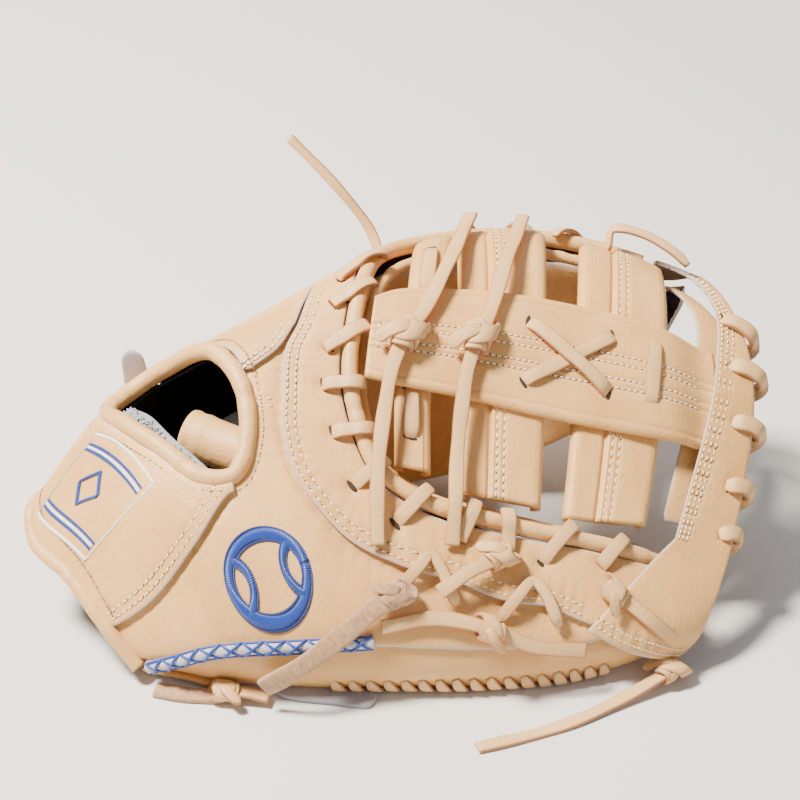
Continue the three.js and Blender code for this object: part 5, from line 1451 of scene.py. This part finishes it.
def knotted(node, rows, knot_row, size=1.0, seed=0.0, rough=False, free=False):
    """A lace with a knot at one of its rows, which lie on the back, or in space where the lace is free."""
    rows = np.asarray(rows, float)
    if free:
        path = Path(rows, np.tile([0, 0, 1.0], (len(rows), 1)))
        point, up = rows[knot_row], np.array([0, 0, 1.0])
    else:
        path = surface_path(rows)
        u, v, lift = rows[knot_row]
        point, up = on(u, v, lift)[0], normals_of(surface, np.array([u]), np.array([v]))[0]
    look = LOOK["rough" if rough else "lace"]
    width, thickness = (ROUGH_WIDTH, ROUGH_THICKNESS) if rough else (LACE_WIDTH + .4, LACE_THICKNESS)
    bm = bmesh.new()
    lace(node, path, look, width=width, thickness=thickness, seed=seed, pinched=(False, False), bm=bm)
    i = int(np.argmin(np.linalg.norm(path.points - point, axis=1)))
    knot_of(bm, path.points[i], path.tangent[i], up, size, seed)
    stands_for(finished(f"{node}.lace", bm, [look]), node)


def over(along, deep, height):
    """A point over the ground, as shares of the length and the depth and a height in millimetres."""
    return np.array([along * LENGTH, deep * DEPTH, height])


class MITT_OT_knots(bpy.types.Operator):
    """Ties the long laces, the heel and the loose ends"""

    bl_idname = "mitt.knots"
    bl_label = "Knots and Ends"

    def execute(self, context):
        post = ON_POST - LACE_SEAT + KNOT_SEAT
        facing = OVER_LIFT + LEATHER + KNOT_SEAT
        left = [(.603, .645, 13), (.56, .54, post - .6), (.52, .478, post), (.495, .45, post + .4), (.468, .41, 14.6),
                (.445, .352, 13.8), (.426, .29, 12.8), (.416, .235, 10.6), (.411, .188, ON_OVER + 1)]
        right = [(.667, .64, 12), (.634, .54, post - 1), (.608, .478, post), (.59, .45, post + .4), (.57, .415, 14.4),
                 (.552, .365, 12.8), (.535, .31, 11.4), (.521, .25, 12.6), (.513, .198, ON_OVER + 1)]
        thumb = [(.598, .2, facing), (.583, .193, facing), (.54, .175, facing + 1.5),
                 (.487, .15, ON_OVER + LACE_PILE + 1)]
        tip = [(.735, .165, facing), (.745, .155, facing), (.8, .115, ON_CROWN + 2), (.86, .08, ON_CROWN)]
        edge = [(.4, .118, ON_BACK + 1.6), (.48, .128, ON_BACK + 2.4), (.555, .12, LEATHER + KNOT_SEAT),
                (.62, .1, ON_BACK + 2), (.7, .088, ON_BACK + 1)]
        knotted("knot_lace_left", left, 3, 1.3, .3)
        knotted("knot_lace_right", right, 3, 1.3, 1.3)
        knotted("knot_lace_thumb", thumb, 1, 1.05, 2.1)
        knotted("knot_lace_tip", tip, 1, 1.0, 2.9)
        knotted("thumb_lace", edge, 2, 1.0, .9)
        loops = {
            "seam_loop_left": [(.435, .15, ON_BACK - 2), (.44, .155, ON_BACK), (.463, .172, ON_OVER + 1.4),
                               (.482, .186, ON_OVER + .7), (.494, .174, ON_OVER + .8), (.508, .147, ON_OVER + .3),
                               (.513, .142, ON_OVER - 2.4)],
            "seam_loop_right": [(.573, .127, ON_BACK - 2), (.578, .132, ON_BACK), (.603, .153, ON_OVER + 1.4),
                                (.628, .17, ON_OVER + .8), (.643, .157, ON_OVER + 1.2), (.657, .127, ON_OVER + .4),
                                (.661, .121, ON_OVER - 2.2)],
        }
        for name, rows in loops.items():
            stands_for(lace(f"{name}.lace", surface_path(rows), LOOK["lace"], width=.85 * LACE_WIDTH), name)

        rough = [(.43, .146, ON_BACK + 5.8), (.4, .135, ON_BACK + 5.2), (.33, .105, ON_BACK + 4),
                 (.27, .082, ON_BACK + 6.2), (.215, .06, ON_BACK + 5.4)]
        knotted("rough_lace", rough, 0, 1.0, .5, rough=True)
        # Width and look of each leather tab at the heel, and its rows over the ground
        tabs = {
            "heel_tab_upper": ([(.165, .05, 3.6), (.21, .025, 3.2), (.258, -.004, 2.2)], 9, "shell"),
            "heel_tab_right": ([(.35, .001, 1.2), (.354, -.02, 1.3), (.4, -.045, 1.4), (.47, -.06, 1.2)], 13, "suede"),
            "heel_tab_lower": ([(.18, -.03, 1.2), (.225, -.05, 1.3), (.2735, -.058, 1.5)], 9, "rough"),
        }
        for name, (rows, width, look) in tabs.items():
            points = np.array([over(a, d, GROUND + h) for a, d, h in rows])
            stands_for(lace(f"{name}.tab", Path(points), LOOK[look], width=width, thickness=TAB_THICKNESS,
                            pinched=(False, False), tongue=4.0), name)
        heel = [over(.27, -.058, GROUND + 5.1), over(.3, -.066, GROUND + 5.1), over(.33, -.076, GROUND + 3.4)]
        knotted("heel_knot", heel, 0, 1.0, .2, free=True)
        lying = GROUND + LACE_THICKNESS / 2 + .05
        ground = [over(.86, .008, GROUND + 6.6), over(.845, -.012, GROUND + 6.2), over(.8, -.06, GROUND + 3),
                  over(.74, -.13, lying + .2), over(.67, -.19, lying), over(.6, -.235, lying)]
        knotted("ground_lace", ground, 0, 1.05, 1.1, free=True)

        def top(along, high):
            return on(along, RIDGE_LINE, high)[0]

        long = np.array([top(.485, ON_OVER - 1.3), top(.485, ON_OVER + 5) + [-2, 3, 4],
                         top(.485, ON_OVER) + [-17, 13, 24], top(.485, ON_OVER) + [-41, 26, 45]])
        stands_for(lace("long_lace.lace", Path(long, np.tile([0, 1.0, 0], (4, 1))), LOOK["lace"],
                        width=.72 * LACE_WIDTH, pinched=(True, False)), "long_lace")
        curl = np.array([on(.79, .64, BAR_FACE + .9)[0], top(.787, ON_OVER + 6), top(.8, ON_OVER + 9.5),
                         top(.84, ON_OVER + 10.5), top(.885, ON_OVER + 8.5), top(.91, ON_OVER + 5.6)])
        facings = np.array([(-1, -.3, .1), (-1, -.3, .6), (-.3, -.3, 1), (0, -.3, 1), (.2, -.3, 1), (.2, -.3, 1)])
        stands_for(lace("ridge_lace_end.lace", Path(curl, facings), LOOK["lace"], width=.8 * LACE_WIDTH),
                   "ridge_lace_end")
        foot = on(.142, .78, OVER_LIFT + LEATHER + 2.2 + 4 * LACE_CLEARANCE)[0] + [6, 0, -2]
        tab = np.array([foot, foot + [-.6, .5, 12], foot + [-2.6, 1, 24]])
        stands_for(lace("pull_tab.suede", Path(tab, np.tile([0, -1.0, 0], (3, 1))), LOOK["suede"], width=11,
                        thickness=TAB_THICKNESS, pinched=(False, False), tongue=6.0), "pull_tab")
        return {"FINISHED"}


class MITT_OT_stitching(bpy.types.Operator):
    """Sews the seams with cream thread"""

    bl_idname = "mitt.stitching"
    bl_label = "Stitching"

    def execute(self, context):
        pitch = millimetres(context.scene.mitt.stitch_pitch)
        rows = seam_rows()
        over_top = OVER_LIFT + LEATHER - 0.22
        crown_top = CROWN_LIFT + LEATHER - 0.2
        sewn = [(line, over_top) for line in rows["facing"] + rows["strap"] + rows["ridge"]]
        sewn += [(line, LEATHER - 0.15) for line in rows["short"]]
        stands_for(stitches("seam_stitching", sewn, LOOK["cream_thread"], pitch))
        on_back, on_over = hole_rows()
        sewn = [(on_back, LEATHER - .1), (on_over, over_top + .1), (rows["wrist"][0], over_top + .1)]
        stands_for(stitches("binding_stitching", sewn, LOOK["brown_thread"], 1.15 * pitch, (1.0, .38, .3)))
        sewn = [(line, crown_top) for line in rows["crown"] + rows["flap"]]
        stands_for(stitches("crown_stitching", sewn, LOOK["cream_thread"], .9 * pitch, (1.05, .44, .4)))
        return {"FINISHED"}


def flat_cord(bm, line, lift, width, height):
    """A raised satin stroke along a flat line on the back surface; its width may follow its length."""
    far = lengths_along(line)
    run = np.gradient(line, axis=0)
    run /= np.linalg.norm(run, axis=1)[:, None]

    def place(share, angle):
        way = share * far[-1]
        x = np.interp(way, far, line[:, 0])
        y = np.interp(way, far, line[:, 1])
        rx = np.interp(way, far, run[:, 0])
        ry = np.interp(way, far, run[:, 1])
        a = angle * 2 * math.pi
        wide = width(share) if callable(width) else width
        across = np.cos(a) * wide / 2
        return on((x - ry * across) / FLAT_LENGTH, (y + rx * across) / FLAT_WIDTH,
                  lift + np.maximum(np.sin(a), -0.4) * height)

    around = 0.005 if callable(width) else width / 1000
    rod("stroke", max(8, int(far[-1] / 0.9)), 14, place, [], uv_size=(far[-1] / 1000, around), bm=bm)


class MITT_OT_ornament(bpy.types.Operator):
    """Sews the plain patch on the strap and the satin ball on the back"""

    bl_idname = "mitt.ornament"
    bl_label = "Patch and Satin Stitch"

    def execute(self, context):
        self.patch()
        self.ball()
        return {"FINISHED"}

    @staticmethod
    def patch():
        """A border, two bands of stripes and a diamond, drawn between the patch's four corners."""
        lift = OVER_LIFT + LEATHER + .1
        white, blue = bmesh.new(), bmesh.new()

        def spot(s, t):
            near, far = PATCH[0] * (1 - s) + PATCH[1] * s, PATCH[3] * (1 - s) + PATCH[2] * s
            return near * (1 - t) + far * t

        def strokes(bm, points, width, height):
            for start, end in zip(points, points[1:]):
                flat_cord(bm, smooth_line(flat([start, end])), lift, width, height)

        strokes(white, [*PATCH, PATCH[0]], 1.0, .45)
        for t in (.15, .85):
            for side, bm in ((-.018, blue), (.018, white), (.05, blue)):
                strokes(bm, [spot(.04, t + side), spot(.96, t + side)], .9, .4)
        strokes(blue, [spot(.5, .32), spot(.66, .5), spot(.5, .68), spot(.34, .5), spot(.5, .32)], 1.5, .6)
        stands_for(finished("patch_border.thread", white, [LOOK["white_thread"]]))
        stands_for(finished("patch_stripes.thread", blue, [LOOK["satin"]]))

    @staticmethod
    def ball():
        """A ball in satin stitch, outlined in navy: its rim and its two seams, as strokes of two widths."""
        satin_bm, navy_bm = bmesh.new(), bmesh.new()
        centre = flat([BALL_CENTRE])[0]
        turn = math.radians(12)
        spin = np.array([[math.cos(turn), -math.sin(turn)], [math.sin(turn), math.cos(turn)]])

        def arc(radius, start, end, aside=0.0):
            angles = np.radians(np.linspace(start, end, 60))
            points = np.column_stack([np.cos(angles) * radius + aside, np.sin(angles) * radius]) * [1, BALL_SQUASH]
            return even(centre + points @ spin.T, 0.5)

        rim, seam, seam_aside = BALL_RADIUS, 13, 20.5
        strokes = [(arc(rim, 0, 360), 3.3), (arc(seam, 128, 232, seam_aside), 2.3),
                   (arc(seam, -52, 52, -seam_aside), 2.3)]
        for line, width in strokes:
            def swell(share, width=width):
                return width * (1 + 0.16 * np.sin(share * 2 * math.pi * 2))

            flat_cord(satin_bm, line, LEATHER + .1, swell, 1.15)
            run = np.gradient(line, axis=0)
            run /= np.linalg.norm(run, axis=1)[:, None]
            for side in (-1, 1):
                beside = line + side * np.column_stack([-run[:, 1], run[:, 0]]) * (width / 2 + .25)
                flat_cord(navy_bm, beside, LEATHER + .05, .8, .55)
        stands_for(finished("satin_ball.thread", satin_bm, [LOOK["satin"]]))
        stands_for(finished("satin_outline.thread", navy_bm, [LOOK["navy"]]))


# The photo's camera, as it was matched to the mitt, in metres and radians
VIEW_TARGET = (0.00024, 0.01563, 0.06054)
VIEW_TILT = math.radians(35)
VIEW_WIDTH = math.radians(16)
VIEW_SHIFT = 0.06875
VIEW_DISTANCE = 1.3


class MITT_OT_stage(bpy.types.Operator):
    """Sets the floor, the lights and the camera"""

    bl_idname = "mitt.stage"
    bl_label = "Stage"

    def execute(self, context):
        bm = bmesh.new()
        bmesh.ops.create_grid(bm, x_segments=1, y_segments=1, size=6)
        floor_look = new_material("pale_floor", Base_Color=(0.72, 0.71, 0.69, 1), Roughness=0.9)[0]
        floor = finished("floor", bm, [floor_look], smooth=False)
        world = bpy.data.worlds.new("studio")
        context.scene.world = world
        world.use_nodes = True
        background = world.node_tree.nodes["Background"]
        background.inputs["Color"].default_value = (0.93, 0.95, 1.0, 1)
        background.inputs["Strength"].default_value = 0.27
        # Place in metres, size, watts and colour of each lamp
        lamps = (
            ("key", (-0.85, 0.0, 1.6), 0.42, 128.0, (1.0, 0.92, 0.8)),
            ("fill", (0.9, -1.5, 0.9), 1.4, 5.0, (0.95, 0.96, 1.0)),
            ("top", (0.2, 0.8, 1.5), 1.2, 6.0, (1.0, 1.0, 1.0)),
        )
        for name, place, size, power, color in lamps:
            data = bpy.data.lights.new(name, "AREA")
            data.shape = "DISK"
            data.size = size
            data.energy = power
            data.color = color
            lamp = bpy.data.objects.new(name, data)
            lamp.location = place
            lamp.rotation_euler = (Vector((0, 0, 0.05)) - Vector(place)).to_track_quat("-Z", "Y").to_euler()
            context.scene.collection.objects.link(lamp)
        camera_data = bpy.data.cameras.new("camera")
        camera_data.sensor_width = 36
        camera_data.lens = 18 / math.tan(VIEW_WIDTH / 2)
        camera_data.shift_y = VIEW_SHIFT
        camera_data.clip_start = 0.05
        camera = bpy.data.objects.new("camera", camera_data)
        away = Vector((0, -math.cos(VIEW_TILT), math.sin(VIEW_TILT)))
        camera.location = Vector(VIEW_TARGET) + away * VIEW_DISTANCE
        camera.rotation_euler = (math.pi / 2 - VIEW_TILT, 0, 0)
        context.scene.collection.objects.link(camera)
        context.scene.camera = camera
        return {"FINISHED"}


class MITT_PT_panel(bpy.types.Panel):
    """Lists the steps that dress the mitt"""

    bl_idname = "MITT_PT_panel"
    bl_label = "First Base Mitt"
    bl_space_type = "VIEW_3D"
    bl_region_type = "UI"
    bl_category = "Mitt"

    def draw(self, context):
        for name in ("leather_color", "roll_color", "lace_color", "thread_color", "cell", "stitch_pitch"):
            self.layout.prop(context.scene.mitt, name)
        for step in STEPS:
            self.layout.operator(step.bl_idname)


STEPS = (MITT_OT_materials, MITT_OT_shell, MITT_OT_web_edge, MITT_OT_palm, MITT_OT_rolls, MITT_OT_web,
         MITT_OT_inside, MITT_OT_lacing, MITT_OT_knots, MITT_OT_stitching, MITT_OT_ornament, MITT_OT_stage)
CLASSES = (MittSettings, *STEPS, MITT_PT_panel)


def register():
    for item in CLASSES:
        bpy.utils.register_class(item)
    bpy.types.Scene.mitt = PointerProperty(type=MittSettings)


def unregister():
    del bpy.types.Scene.mitt
    for item in reversed(CLASSES):
        bpy.utils.unregister_class(item)


def main():
    register()
    for step in STEPS:
        group, name = step.bl_idname.split(".")
        getattr(getattr(bpy.ops, group), name)()


if __name__ == "__main__":
    main()
